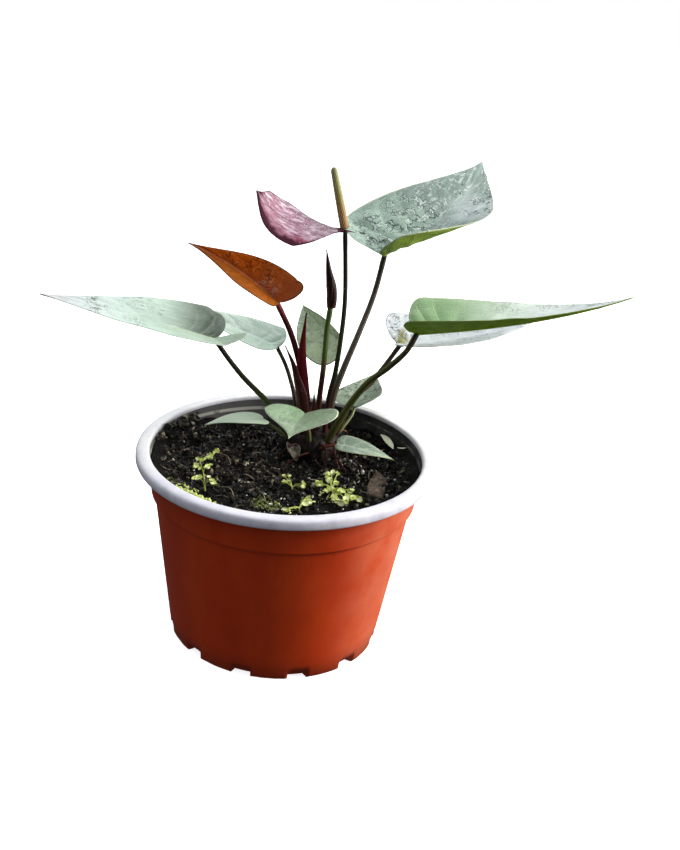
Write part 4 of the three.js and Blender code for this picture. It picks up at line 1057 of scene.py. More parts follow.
# rows, columns a side, veins, puff in mm and the record's slot for each blade
GRIDS = {
    "upper_right": (150, 30, 13, 0.5, "leaf_sage"), "long_right": (150, 24, 12, 0.35, "leaf_green"),
    "second_right": (110, 24, 9, 0.35, "leaf_sage"), "long_left": (130, 24, 11, 0.35, "leaf_sage"),
    "second_left": (90, 18, 8, 0.3, "leaf_sage"), "young": (100, 22, 8, 0.3, "leaf_orange"),
    "back": (70, 20, 7, 0.25, "leaf_sage"), "low_back": (60, 16, 6, 0.2, "leaf_sage"),
    "heart": (60, 18, 6, 0.2, "leaf_sage"), "low_left": (56, 12, 6, 0.15, "leaf_sage"),
    "low_right": (56, 10, 6, 0.15, "leaf_sage"),
}


def make_leaf(name):
    """Builds one blade over its plain solid and returns its top surface for later."""
    rows, columns, veins, puff, slot = GRIDS[name]
    leaf = complete(LEAVES[name])
    points, faces, values, top = blade_shell(leaf, rows, columns, veins, puff, ripple=puff, seed=len(name))
    finish = leaf_finish(f"leaf_{name}", {**PLAIN_LOOK, **LEAF_LOOKS[name]})
    make_piece(f"blade_{name}", points, faces, finish, slot, [f"leaf_{name}_blade"], values)
    return top


leaf_tops = {name: make_leaf(name) for name in LEAVES}
print("leaf blades:", len(leaf_tops))

# %% [markdown]
# Stalks are firm, slightly grooved tubes. They thicken at the foot, and just under the blade
# each has a short knee. Their colour runs from one end to the other, and catches a lighter line
# along the side that faces the light. Bark, roots and other dry woody things share a second
# finish, made of two noises.

# %% Stalks
LIT_ANGLE = 3.6
GROOVES, GROOVE_DEPTH = 5, 0.05
KNEE_PLACE, KNEE_LENGTH, KNEE_SWELLING = 0.955, 0.03, 0.1


def stalk_finish(name, stops, line, line_strength=0.4):
    """Ramp along the stalk with a lighter line at one angle, and lengthwise fibres as bump."""
    material, tree = new_finish(name)
    along, lit = tree.stored("along", "lit")
    place = tree.place()
    cloud = place.noise(160, 3, 0.6)
    colour = (along + (cloud - 0.5) * 0.16).ramp(stops)
    colour = (lit.between(0.75, 0.98) * line_strength).mix(colour, line)
    colour = (place.noise(900, 2).between(0.62, 0.72) * 0.3).mix(colour, line)
    relief = place.noise(700, 3, 0.6, stretch=(1, 1, 0.12))
    return close_finish(material, {"IOR": 1.45, "Specular IOR Level": 0.2}, Base_Color=colour,
                        Roughness=0.42 + 0.2 * cloud, Normal=bumped(relief, 0.4, 0.0003))


def woody_finish(name, stops, rough=0.7):
    """Bark, roots and dry leaves: a ramp on two noises, with the finer one as relief."""
    material, tree = new_finish(name)
    place = tree.place()
    grain, cloud = place.noise(420, 5, 0.7), place.noise(90, 3)
    colour = (grain * 0.7 + cloud * 0.3).ramp(stops)
    return close_finish(material, {"Specular IOR Level": 0.25}, Base_Color=colour,
                        Roughness=rough - 0.3 * cloud, Normal=bumped(grain, 0.8, 0.0008))


def make_tube(name, node, made, finish, slot):
    """A finished tube that keeps its share along the path and which side of it is lit."""
    points, faces, share, angle = made
    values = {"along": share, "lit": np.cos(angle - LIT_ANGLE)}
    return make_piece(name, points, faces, finish, slot, [node], values)


def make_stalk(name, node, corners, radii, finish, slot):
    """One stalk: swollen at the foot and at the knee, with five soft grooves."""
    first, last = radii
    knee = lambda t: KNEE_SWELLING * last * np.exp(-(((t - KNEE_PLACE) / KNEE_LENGTH) ** 2))
    radius = lambda t: first + (last - first) * t**0.7 + knee(t)
    grooves = lambda t, angle: GROOVE_DEPTH * last * np.cos(GROOVES * angle + 0.8 * t)
    return make_tube(name, node, tube(corners, radius, 16, 60, relief=grooves), finish, slot)


# corners of the path up to the blade, radii, slot, colours from foot to top, colour of the lit line
DARK = {0: (44, 30, 22), 0.25: (58, 44, 26), 0.7: (70, 60, 44), 1: (52, 40, 32)}
STALKS = {
    "upper_right": (
        [(20.5, 31.5, 97), (21.6, 31, 118.5), (25.8, 32, 135.3), (31.8, 33.5, 154.8), (37.6, 35, 175.8)],
        (2, 1.3), "stalk_dark",
        {0: (52, 36, 28), 0.25: (80, 70, 58), 0.6: (106, 98, 88), 0.85: (60, 54, 46), 1: (38, 36, 28)},
        (150, 142, 130),
    ),
    "long_right": (
        [(19.5, 20, 96), (29, 20.5, 117.5), (38.2, 18.5, 133.7), (48, 15.5, 144.6), (55.6, 14, 154.4)],
        (2.1, 1.35), "stalk_green",
        {0: (50, 44, 20), 0.35: (62, 68, 26), 0.7: (56, 52, 28), 1: (48, 34, 22)}, (120, 128, 72),
    ),
    "second_right": (
        [(24, 27.5, 96), (32, 32.5, 117.3), (41.6, 38, 127), (49, 42.5, 137)], (1.7, 1.2), "stalk_dark",
        DARK, (110, 112, 80),
    ),
    "long_left": (
        [(0, 27, 96), (-4.9, 27, 104), (-11.4, 27.3, 113.8), (-25.9, 27.5, 127.9), (-33.8, 27.6, 137)],
        (1.7, 1.2), "stalk_green",
        {0: (72, 76, 44), 0.35: (66, 74, 36), 0.65: (46, 44, 26), 1: (28, 22, 18)}, (128, 136, 98),
    ),
    "second_left": (
        [(4, 37.4, 96), (2, 38.6, 112.6), (-0.9, 40.4, 122), (-4.3, 42.4, 130.2)], (1.3, 1.0),
        "stalk_dark", DARK, (176, 180, 150),
    ),
    "young": (
        [(6.2, 30, 96), (4.7, 29.8, 119.5), (4.3, 29, 130.2), (1.8, 27.5, 140.6), (-3.2, 24.8, 155.4)],
        (2, 1.3), "stalk_red", {0: (46, 10, 14), 0.5: (58, 10, 16), 0.85: (66, 16, 20), 1: (120, 44, 40)},
        (96, 36, 40),
    ),
    "back": (
        [(20, 36.5, 96), (22.4, 38.5, 117), (22.3, 42, 133)], (1.3, 0.9), "stalk_dark",
        {0: (52, 50, 30), 1: (86, 96, 58)}, (120, 128, 88),
    ),
    "low_back": (
        [(24.5, 32.5, 95), (29, 35.5, 101), (33, 39, 106.5)], (0.9, 0.7), "seedling",
        {0: (96, 100, 60), 1: (150, 158, 112)}, (186, 194, 156),
    ),
    "heart": (
        [(11.5, 18.5, 96), (10.3, 14, 106), (8.4, 8.8, 114.5)], (1.2, 0.9), "stalk_green",
        {0: (70, 66, 38), 1: (112, 128, 80)}, (140, 148, 104),
    ),
    "low_left": (
        [(1, 22, 95), (-3, 22.5, 99.5), (-9, 24, 103)], (1.1, 0.8), "stalk_green",
        {0: (64, 58, 36), 1: (108, 124, 78)}, (140, 148, 104),
    ),
    "low_right": (
        [(16, 16.5, 95), (19.5, 13.5, 98.5), (23, 11, 100.5)], (1, 0.8), "stalk_red",
        {0: (92, 34, 30), 1: (150, 84, 68)}, (176, 110, 96),
    ),
}
for name, (corners, radii, slot, stops, line) in STALKS.items():
    make_stalk(f"stalk_{name}", f"leaf_{name}_stalk", [*corners, LEAVES[name]["attach"]], radii,
               stalk_finish(f"stalk_{name}", stops, line), slot)
print("leaf stalks:", len(STALKS))

# %% [markdown]
# The flower is a spathe, one waxy coloured bract, at the top of its own thin stalk, and the
# spadix that stands in its lap. The spathe is a blade with other numbers. Its outer edge is dark
# maroon and its middle mauve with purple veins. Its foot clasps the stalk, and a short flat point
# of it stands out on the right behind the spadix.

# %% Spathe
SPATHE = dict(attach=(19.3, 20.9, 211.5), length=53.6, width=29, lobe=-0.147, lobe_spread=-0.07, widest=0.534,
              tip=0.176, shoulder=0.632, heading=203.5, pitch=-0.6, bend=58.2, roll=-30.5, twist=-11.9,
              fold_left=-3.8, fold_right=0.7, fold_tip=0.9, curl_left=3.3, curl_right=-17.7)
COLLAR = [(18.2, 20.9, 211.4), (21.4, 20.7, 211.1), (24.4, 20.4, 210.8)]


def spathe_finish():
    """Mauve with red streaks, grey clouds and painted highlights; dark maroon in a band along the near edge
    and the tip.
    """
    material, tree = new_finish("spathe_mauve")
    along, across, side, under, vein, rib = tree.stored("along", "across", "side", "under", "vein", "rib")
    flat = flat_place(tree)
    cloud = flat.noise(0.22, 4, 0.6)
    near = side.between(-0.2, 0.2)
    far = 1 - near
    colour = (along + (cloud - 0.5) * 0.3).ramp(
        {0: (178, 162, 170), 0.2: (146, 126, 138), 0.5: (150, 118, 136), 0.8: (168, 130, 146),
         1: (130, 84, 100)})
    streaks = flat.noise(0.45, 4, 0.65, stretch=(0.3, 1, 1))
    belly = near * across.between(0.2, 0.6) * (1 - along.between(0.55, 0.8))
    colour = (streaks.between(0.5, 0.62) * (0.35 + belly * 0.5)).mix(colour, (112, 40, 64))
    # Painted highlights: pale lilac where the streak noise is low, more on the far half, and glints from a
    # finer noise.
    pale = (1 - streaks.between(0.38, 0.52)) * (0.5 + far * across.between(0.3, 0.8) * 0.4)
    colour = pale.mix(colour, (216, 204, 214))
    colour = (vein * 0.25 + rib * along.between(0.3, 0.6) * 0.55).mix(colour, (96, 48, 80))
    glint = flat.noise(1.0, 3, 0.6).between(0.6, 0.68) * (0.3 + far * 0.6)
    colour = glint.mix(colour, (244, 234, 240))
    neck = far * (1 - along.between(0.25, 0.5)) * across.between(0.3, 0.8)
    colour = (neck * 0.6).mix(colour, (106, 84, 98))
    edge = across + (cloud - 0.5) * 0.4
    past_neck = near * along.between(0.12, 0.4)
    colour = (past_neck * edge.between(0.4, 0.8) * 0.75).mix(colour, (112, 46, 72))
    tip = along.between(0.88, 0.97) * edge.between(0.2, 0.6)
    dark = (past_neck * edge.between(0.68, 0.9) + tip).between(0, 1)
    colour = (dark * 0.92).mix(colour, (46, 10, 26))
    colour = (across.between(0.94, 0.98) * along.between(0.05, 0.15) * 0.85).mix(colour, (50, 12, 28))
    back = flat.noise(0.3, 3).ramp({0.3: (84, 32, 56), 0.7: (118, 58, 84)})
    colour = under.between(0.4, 0.6).mix(colour, back)
    relief = flat.noise(1.3, 4, 0.6) * 0.6 + streaks * 0.8 - vein * 0.3
    gloss = {"IOR": 1.45, "Coat Roughness": 0.12, "Specular IOR Level": 0.04}
    return close_finish(material, gloss, Base_Color=colour, Roughness=0.34 + 0.2 * cloud,
                        Coat_Weight=(1 - dark) * 0.35, Normal=bumped(relief, 0.6, 0.0006))


points, faces, values, _ = blade_shell(complete(SPATHE), 110, 26, 9, 0.1, ripple=0.35, seed=7)
make_piece("spathe", points, faces, spathe_finish(), "spathe_mauve", ["flower_spathe"], values)
print("spathe faces:", len(faces))
points, faces, _, _ = tube(COLLAR, lambda t: 0.75 * (1 - 0.8 * t), 12, 16, flat=0.5)
collar_finish = woody_finish("collar", {0.4: (78, 26, 44), 0.6: (150, 96, 114)}, 0.5)
make_piece("spathe_collar", points, faces, collar_finish, "spathe_mauve")

# %% [markdown]
# The spadix is a fleshy spike packed with tiny florets. They sit in crossing spirals, so its
# relief is the product of two waves that wind round it in opposite ways. It is cream at the foot,
# where the florets are open, and olive green towards the tip.

# %% Spadix and flower stalk
SPADIX_FOOT, SPADIX_TIP = np.array([19.3, 20.9, 211.6]), np.array([11.0, 21.5, 241.2])
SPADIX_RADII, ROUND_FROM = (2.12, 1.45), 0.93
FLORET, SPIRALS, WINDING = 0.13, 11, 44
FLOWER_STALK = [(18.6, 24.6, 96), (19.4, 24.2, 122), (21.4, 23.6, 136.2), (22.6, 22.8, 157.5),
                (22.6, 21.8, 176), (19.4, 20.9, 211.3)]
BUD_STALK = [(14.3, 27.6, 96), (14.6, 27.4, 121), (15.2, 27.6, 138), (15.2, 27.8, 157), (15.9, 28, 169)]


def florets(t, angle):
    """Relief of the florets: two crossing sets of spirals, multiplied."""
    rows, wound = SPIRALS / 2 * angle, WINDING * t
    return FLORET * np.abs(np.sin(rows + wound)) * np.abs(np.sin(rows - wound))


def spadix_radius(t):
    """A slow taper that ends round."""
    taper = SPADIX_RADII[0] + (SPADIX_RADII[1] - SPADIX_RADII[0]) * t**1.6
    past = np.clip(t - ROUND_FROM, 0, 1) / (1 - ROUND_FROM)
    end = np.sqrt(np.clip(1 - past**2, 0.02, 1))
    return taper * end * ease(t, -0.02, 0.015)


def spadix_finish():
    """Cream to olive along the spike; painted shade darkens the seams between the florets."""
    material, tree = new_finish("spadix")
    along, crown = tree.stored("along", "crown")
    place = tree.place()
    cloud = place.noise(300, 3, 0.6)
    colour = (along + (cloud - 0.5) * 0.2).ramp(
        {0: (96, 44, 56), 0.07: (196, 150, 104), 0.35: (190, 156, 94), 0.6: (174, 172, 98),
         0.8: (178, 190, 122), 1: (168, 176, 132)})
    # Painted shade in the seams between the florets.
    colour = (1 - crown.between(0.1, 0.6)).mix(colour, (112, 92, 50))
    colour = (place.noise(520, 2).between(0.62, 0.7) * 0.5).mix(colour, (104, 66, 42))
    relief = cloud + place.noise(2600, 2) * 0.4
    return close_finish(material, {"IOR": 1.45}, Base_Color=colour, Roughness=0.5 + 0.2 * cloud,
                        Normal=bumped(relief, 0.4, 0.0003))


spadix_path = [SPADIX_FOOT + (SPADIX_TIP - SPADIX_FOOT) * s for s in (0.015, 0.5, 1)]
points, faces, share, angle = tube(spadix_path, spadix_radius, 66, 170, relief=florets)
make_piece("spadix", points, faces, spadix_finish(), "spadix_cream", ["flower_spadix"],
           {"along": share, "crown": florets(share, angle) / FLORET})
flower_stops = {0: (66, 26, 22), 0.25: (40, 24, 18), 0.4: (40, 48, 20), 0.6: (44, 50, 26), 0.8: (34, 24, 22),
                1: (26, 18, 18)}
make_stalk("flower_stalk_fine", "flower_stalk", FLOWER_STALK, (1.4, 1.1),
           stalk_finish("flower_stalk", flower_stops, (84, 84, 62)), "stalk_dark")
bud_stops = {0: (96, 26, 22), 0.25: (62, 18, 20), 0.5: (54, 22, 20), 0.6: (96, 80, 50), 0.67: (78, 98, 44),
             1: (72, 92, 46)}
make_stalk("bud_stalk_fine", "bud_stalk", BUD_STALK, (1.5, 1.35),
           stalk_finish("bud_stalk", bud_stops, (122, 134, 86)), "stalk_green")
print("spadix faces:", len(faces))

# %% [markdown]
# The bud is a second spathe still rolled round its spadix: a slim spindle with one seam that
# winds up it. The sheaths are papery bracts that once wrapped a shoot. They are tubes pressed
# flat, dark red and ribbed along their length.

# %% Bud and sheaths
BUD = [(16.4, 28, 169.3), (15.9, 28, 178), (13.2, 28, 190), (11.4, 28, 199)]
BUD_RADIUS, SEAM_START, SEAM_WINDING, SEAM_DEPTH = 2.7, 4.2, 2.4, 0.28
SHEATH_RIBS, RIB_DEPTH = 9, 0.09
# corners of the path, widest radius, colours from foot to tip, colour of the lit line
SHEATHS = {
    "sheath_red": (
        [(7.4, 24, 96), (6.6, 24, 118), (4.6, 24, 131), (3.5, 24, 146), (4, 24, 166.5)], 3.4,
        {0: (56, 10, 12), 0.5: (84, 8, 18), 0.85: (84, 12, 18), 1: (44, 12, 12)}, (140, 30, 36),
    ),
    "sheath_dark": (
        [(8, 21, 97), (7.4, 20.5, 110), (5.8, 20.5, 121), (2.4, 20.5, 131.4), (-0.3, 20.5, 139.4),
            (-5.3, 20.5, 149.5)],
        2.9, {0: (40, 22, 14), 0.4: (50, 16, 12), 0.8: (54, 12, 14), 1: (50, 28, 22)}, (122, 98, 88),
    ),
    "sheath_short": (
        [(12.6, 22.8, 97), (12.2, 22.6, 108), (11.6, 22.4, 125)], 1.7,
        {0: (48, 14, 16), 0.6: (66, 18, 22), 1: (44, 14, 16)}, (150, 96, 88),
    ),
}


def bud_radius(t):
    """A spindle: full from an eighth to two fifths of its length, then an even taper to a point."""
    return BUD_RADIUS * np.clip(0.85 + 1.2 * t, 0, 1) * np.clip(1.55 * (1.03 - t), 0.12, 1)


def bud_relief(t, angle):
    """A seam that winds round the bud, a step that fades away behind it, and seven faint ribs."""
    behind = np.mod(angle - SEAM_START - SEAM_WINDING * t, 2 * np.pi) / (2 * np.pi)
    ribs = 0.03 * (1 - np.cos(7 * angle + 3 * t))
    return -SEAM_DEPTH * bud_radius(t) * np.exp(-behind / 0.12) - ribs


def sheath_radius(widest):
    """Widens over the first quarter and tapers over the upper half."""
    return lambda t: widest * np.minimum(0.72 + 1.1 * t, 1) * np.clip(1.9 * (1.02 - t), 0.12, 1)


def sheath_relief(t, angle):
    """Ribs along the sheath, always inward so that it stays inside the plain solid."""
    return -RIB_DEPTH * (1 - np.cos(SHEATH_RIBS * angle)) * (1 - 0.6 * t)


bud_finish = stalk_finish("bud", {0: (84, 52, 44), 0.06: (44, 16, 18), 0.5: (32, 8, 12), 1: (50, 22, 20)},
                          (96, 50, 50), 0.5)
make_tube("bud_furled", "bud", tube(BUD, bud_radius, 48, 90, relief=bud_relief), bud_finish, "bud_maroon")
for name, (corners, widest, stops, line) in SHEATHS.items():
    sheath = tube(corners, sheath_radius(widest), 40, 70, flat=0.5, relief=sheath_relief)
    make_tube(f"{name}_ribbed", name, sheath, stalk_finish(name, stops, line, 0.5), "sheath_red")
print("sheaths:", len(SHEATHS))

# %% [markdown]
# All stalks rise from one short stem, the crown, which is half buried: a dark, knobbly and pitted
# mass. Reddish aerial roots run down from it into the soil.

# %% Crown and roots
CROWN_CENTRE, CROWN_RADII, CROWN_FOOT, CROWN_TOP = (12.0, 27.0), (16.0, 14.0), 82.0, 103.5
ROOTS = [
    [(20, 20, 98), (24, 15, 98.5), (25, 10.5, 95), (27, 8.5, 90)],
    [(16, 17, 98), (19.5, 12, 98.5), (20.5, 8, 94), (19, 6.5, 89.5)],
    [(13, 15, 94), (8, 10.5, 94), (3, 8, 91.5), (0, 7.5, 89)],
    [(22, 24, 97), (27.5, 22, 97.5), (31, 19.5, 93), (32, 18, 89.5)],
    [(22, 31, 99), (27.5, 35, 99), (31, 37.2, 97.2), (32.5, 36.5, 91)],
    [(18, 15, 96), (23, 12.5, 96.5), (28, 7, 92.5), (31, 5, 89.5)],
    [(6, 18, 97), (2, 14.5, 97), (-3, 12.5, 93), (-4.5, 12, 89)],
]


def crown_shape():
    """A ball, lumpy by two slow waves and pitted inward by small hills."""
    ball, quads = lump(140, 70)
    x, y, up = np.moveaxis(ball, -1, 0)
    lumps = 1 + 0.05 * np.sin(5 * x + 2) * np.cos(4 * up) + 0.04 * np.sin(7 * y + 3 * x)
    flat_x, flat_y = CROWN_CENTRE[0] + x * CROWN_RADII[0], CROWN_CENTRE[1] + y * CROWN_RADII[1]
    pits = 1.1 * np.abs(hills(flat_x, flat_y, 3.2, 51)) + 0.6 * np.abs(hills(flat_x, flat_y, 1.2, 52))
    lumps = lumps - 0.05 * pits
    half = (CROWN_TOP - CROWN_FOOT) / 2
    x, y = CROWN_CENTRE[0] + x * CROWN_RADII[0] * lumps, CROWN_CENTRE[1] + y * CROWN_RADII[1] * lumps
    return np.stack([x, y, CROWN_FOOT + half + up * half * lumps], -1), quads


crown_finish = woody_finish("crown_bark", {0.36: (8, 5, 4), 0.52: (20, 12, 8), 0.64: (50, 26, 18),
                                           0.78: (104, 74, 54)})
make_piece("crown_knobbly", *crown_shape(), crown_finish, "crown_stem", ["crown"])
twisted = lambda t, angle: 0.06 * np.sin(40 * t + 2 * angle)
points, faces, _, _ = joined([tube(path, lambda t: 0.62 - 0.2 * t, 12, 40, relief=twisted) for path in ROOTS])
root_finish = woody_finish("aerial_root", {0.38: (36, 14, 12), 0.56: (80, 38, 32),
                                           0.72: (156, 116, 102)}, 0.6)
make_piece("aerial_roots", points, faces, root_finish, "crown_stem")
print("crown and roots:", len(ROOTS))

# %% [markdown]
# Seedlings have come up in the pot: thread-like stems that each carry a cluster of small round
# leaves, one larger than the rest. The leaf is one closed ball, flattened and cupped, and every
# copy has its own size and turn. Moss grows between them and on the wall under the rim.

# %% Seedlings
WEED_DEPTH, CLUSTER = 86.5, 5
# foot, stem radius, leaf half width and height, leaf places with their scale, corners of a spine
WEEDS = {
    "weed_left": (
        (-38, -31.5, 90.5), 0.36, (2.5, 1.7),
        [(-42, -31.5, 96.5, 1.1), (-35, -31.5, 95.8, 1.2), (-43, -31.5, 103.3, 1),
            (-37.4, -31.5, 103.1, 1), (-42.2, -31.4, 106.8, 0.6), (-40.2, -31.6, 106.9, 0.6)],
        [(-38.4, -31.6, 93), (-39.3, -31.5, 100), (-41, -31.5, 105)],
    ),
    "weed_left_back": (
        (-38.4, 1, 90.8), 0.35, (1.6, 1.2),
        [(-39.8, -1.8, 94, 1), (-38.5, 2.2, 94.2, 0.9), (-35.6, 6.9, 94, 1.2), (-37, 4.6, 94.4, 0.7)], [],
    ),
    "weed_right": (
        (23.5, -21, 91.6), 0.4, (2, 1.6),
        [(21.1, -8.5, 93.2, 1), (23.4, -6.8, 93, 1), (26.3, -7, 93.2, 0.9), (16.4, -19.3, 93, 1.1),
            (18.1, -20.7, 93.6, 0.9), (22.4, -14.8, 93.4, 1.1), (25.5, -17.7, 93.2, 1),
            (20.9, -26.6, 93, 1), (23.4, -25, 93.6, 1), (26.5, -27.8, 93.2, 1.1), (24.5, -32.6, 92.8, 1),
            (27.9, -37, 92.6, 1.3), (30.4, -33.7, 93, 1.2), (32.7, -25.7, 93.4, 1.3),
            (34.1, -32, 93, 1.2), (36.6, -32.7, 93, 1.1)],
        [],
    ),
    "weed_middle": (
        (4, -22, 91.4), 0.3, (1.5, 1.2),
        [(-0.2, -20.2, 92.6, 1.2), (1.7, -13.4, 92.8, 0.8), (-0.5, -12.8, 92.6, 0.8), (9, -24.3, 93, 1.2),
            (9.6, -22.6, 93.6, 0.9)],
        [],
    ),
    "weed_front": (
        (8, -42, 91), 0.4, (1.7, 1.4),
        [(11.8, -38.4, 94, 1), (10.9, -39.6, 92, 1.4), (12.9, -38.4, 91.8, 1.1), (1.5, -47.6, 92, 1.3),
            (0.4, -47.9, 91.4, 0.9)],
        [],
    ),
}


def seedling_leaf(sides=14, rows=10):
    """A flattened ball with a notch, whose height grows with its radius squared, like a cup."""
    ball, faces = lump(sides, rows)
    x, y, up = np.moveaxis(ball, -1, 0)
    notch = 1 - 0.25 * np.exp(-((np.arctan2(y, x) / 0.3) ** 2))
    return np.stack([x * notch, y, 0.1 * up + 0.35 * np.hypot(x, y) ** 2], -1), faces


def seedling_finish():
    """Fresh yellow green: each leaf has its own shade."""
    material, tree = new_finish("seedling_green")
    cloud = tree.place().noise(700, 3, 0.6)
    colour = (tree.stored("shade") * 0.8 + (cloud - 0.5) * 0.5).ramp(
        {0.0: (104, 122, 40), 0.25: (180, 196, 84), 0.55: (226, 234, 146), 0.85: (250, 252, 206)})
    return close_finish(material, {"Coat Weight": 0.15}, Base_Color=colour, Roughness=0.4 + 0.2 * cloud,
                        Normal=bumped(cloud, 0.4, 0.0003))


def seedling_stems(foot, thick, tops, spine):
    """A root below the foot, a spine if there is one, and a bowed stem up to each leaf."""
    line = [foot, *spine]
    parts = [tube([(*foot[:2], WEED_DEPTH), foot], lambda t: thick + 0 * t, 7, 4)]
    if spine:
        parts.append(tube(line, lambda t: thick * (1 - 0.4 * t), 8, 16))
    for i, top in enumerate(tops):
        start = line[i // 2 + 1] if spine else (foot[0], foot[1], foot[2] - 0.3)
        middle = [start[k] + (top[k] - start[k]) * share for k, share in enumerate((0.35, 0.35, 0.8))]
        parts.append(tube([start, middle, top[:3]], lambda t: thick * 0.7 * (1 - 0.3 * t), 7, 10))
    return parts


def leaning_turns(lean, spin):
    """Rotation matrices that spin about the upright axis and then lean about the level one."""
    zero, one = 0 * lean, 1 + 0 * lean
    about_x = [[one, zero, zero], [zero, np.cos(lean), -np.sin(lean)], [zero, np.sin(lean), np.cos(lean)]]
    about_z = [[np.cos(spin), -np.sin(spin), zero], [np.sin(spin), np.cos(spin), zero], [zero, zero, one]]
    return np.einsum("ijn,jkn->nik", np.array(about_x), np.array(about_z))


def make_seedling(name, number):
    """One seedling as one piece: its stems, then its leaves with a few smaller ones beside them."""
    foot, thick, (wide, tall), tops, spine = WEEDS[name]
    random = np.random.default_rng(60 + number)
    parts = [(*part[:2], np.full(len(part[0]), 0.35)) for part in seedling_stems(foot, thick, tops, spine)]
    near, scale = np.split(np.repeat(np.array(tops, float), CLUSTER, axis=0), [3], axis=1)
    beside = (np.arange(len(near)) % CLUSTER > 0)[:, None]
    near = near + random.normal(0, 0.45, near.shape) * wide * scale * beside * (1, 1, 0.5)
    sizes = random.uniform(0.7, 1.05, scale.shape) * scale * np.where(beside, 0.58, 0.85) * (wide, tall, wide)
    shape, faces = seedling_leaf()
    lean, _, spin = (random.normal(0, 0.7, (len(near), 3)) * (1, 1, 3) + (0.5, 0, 0)).T
    leaf_points, leaf_faces = repeated(shape, faces, near, sizes, leaning_turns(lean, spin))
    shade = np.repeat(random.uniform(0.2, 1, len(near)), shape[..., 0].size)
    points, faces, shades = joined([*parts, (leaf_points, leaf_faces, shade)])
    return make_piece(f"{name}_fine", points, faces, seedling, "seedling", [name], {"shade": shades})


seedling = seedling_finish()
seedlings = [make_seedling(name, number) for number, name in enumerate(WEEDS)]
tuft = bits("moss_tuft", seedling, "seedling", 190, (0.3, 0.75), (0.6, 1.0), 71,
            [((-48, -31), 4.2, 0.25), ((-44, -34), 3.5, 0.2), ((26, -24), 9, 0.45), ((4, -44), 5, 0.1)], 0.4)
moss = bit_finish("moss_mat", {0.1: (40, 46, 18), 0.5: (92, 104, 48), 0.8: (140, 150, 84),
                               1: (196, 204, 140)})
mat = bits("moss_mat", moss, "seedling", 260, (0.35, 0.9), (0.6, 1.1), 72,
           [((-13, -38.5), 4, 0.35), ((-5, -39.5), 5, 0.45), ((-52, -28), 5, 0.2)], 0.2)


def wall_places(random, angle, height, sunk):
    """Points at these angles and heights just off the pot's inner wall."""
    radius = wall_radius(height) - WALL - random.uniform(*sunk, len(angle))
    return np.stack([radius * np.cos(angle), radius * np.sin(angle), height], -1)


def rim_moss(count=420):
    """Moss that grows on a strip of the wall just under the rim: angle and height are random."""
    random = np.random.default_rng(73)
    angle, height = np.radians(random.triangular(-139, -124, -116, count)), random.uniform(95.2, 99.8, count)
    places = wall_places(random, angle, height, (0.2, 1.6))
    sizes = random.uniform(0.35, 1.0, (count, 1)) * random.uniform(0.6, 1.1, (count, 3))
    return strewn("rim_moss", lump(), places, sizes, random, (0.3, 0.7), seedling, "seedling")


print("seedling faces:", [len(o.data.polygons) for o in (*seedlings, tuft, mat, rim_moss())])

# %% [markdown]
# One broad chip of bark lies on the right. It is the plain solid's five-sided slab with its top
# split into fibres that run its length, and its edge ragged. Round it lies what else has fallen
# in the pot: a withered leaf, two pale husks, a few grains that catch the eye, old grey strands,
# and wet crumbs thrown against the wall.

# %% Bark chip and litter
CHIP = np.array([[46.6, 5.8], [53, -2.3], [49, -25], [41, -22], [41.8, -10]])
CHIP_BOTTOM, CHIP_THICKNESS = 89.4, 2.4
LITTER_HALF = 0.15


def chip_shape(rings=26, sides=180):
    """Rings from the middle out to the outline below, and back to it above; the top is ribbed."""
    corner = np.vstack([CHIP, CHIP[:1]])
    length = np.concatenate([[0], np.cumsum(np.linalg.norm(np.diff(corner, axis=0), axis=1))])
    even = np.linspace(0, length[-1], sides, endpoint=False)
    outline = np.stack([np.interp(even, length, corner[:, k]) for k in range(2)], -1)
    centre = CHIP.mean(0)
    outline = centre + (outline - centre) * (1 - 0.05 * np.abs(hills(even / 1.5, even * 0, 1, 81)))[:, None]
    share = np.linspace(0, 1, rings)[:, None, None]
    x, y = np.moveaxis(centre + (outline - centre)[None] * share, -1, 0)
    across = x * 0.97 - y * 0.22
    ribs = 0.75 * np.abs(hills(across, y * 0.12, 1.3, 82)) + 0.35 * np.abs(hills(across, y * 0.3, 0.5, 83))
    edge = np.sqrt(np.clip(1 - share[..., 0] ** 8, 0, 1))
    top = CHIP_BOTTOM + CHIP_THICKNESS * (0.4 + 0.6 * edge) - ribs * 0.7
    lower = np.stack([x, y, np.full_like(x, CHIP_BOTTOM)], -1)
    rows = np.concatenate([lower, np.stack([x, y, top], -1)[::-1]])
    return rows, grid_quads(2 * rings, sides, wrap=True)


def litter_leaf(name, corners, widths, cup, finish):
    """A narrow dry leaf: cross sections that cup upward, carried along a path, 0.3 mm thick."""
    path = smooth_path(corners, 25)
    side = unit(np.cross(unit(np.gradient(path, axis=0)), (0, 0, 1)))
    t, w = np.linspace(0, 1, 25)[:, None], np.linspace(-1, 1, 11)[None, :]
    half = widths * np.sin(np.pi * np.clip(t, 0.02, 0.98)) ** 0.7
    middle = path[:, None] + side[:, None] * (half * w)[..., None]
    middle = middle + np.array([0, 0, 1.0]) * (cup * half * w**2)[..., None]
    ring = np.concatenate([middle + (0, 0, LITTER_HALF), (middle - (0, 0, LITTER_HALF))[:, ::-1]], axis=1)
    points = closed(ring, (ring[0].mean(0), ring[-1].mean(0)))
    return make_piece(name, points, grid_quads(*points.shape[:2], wrap=True), finish, "bark")


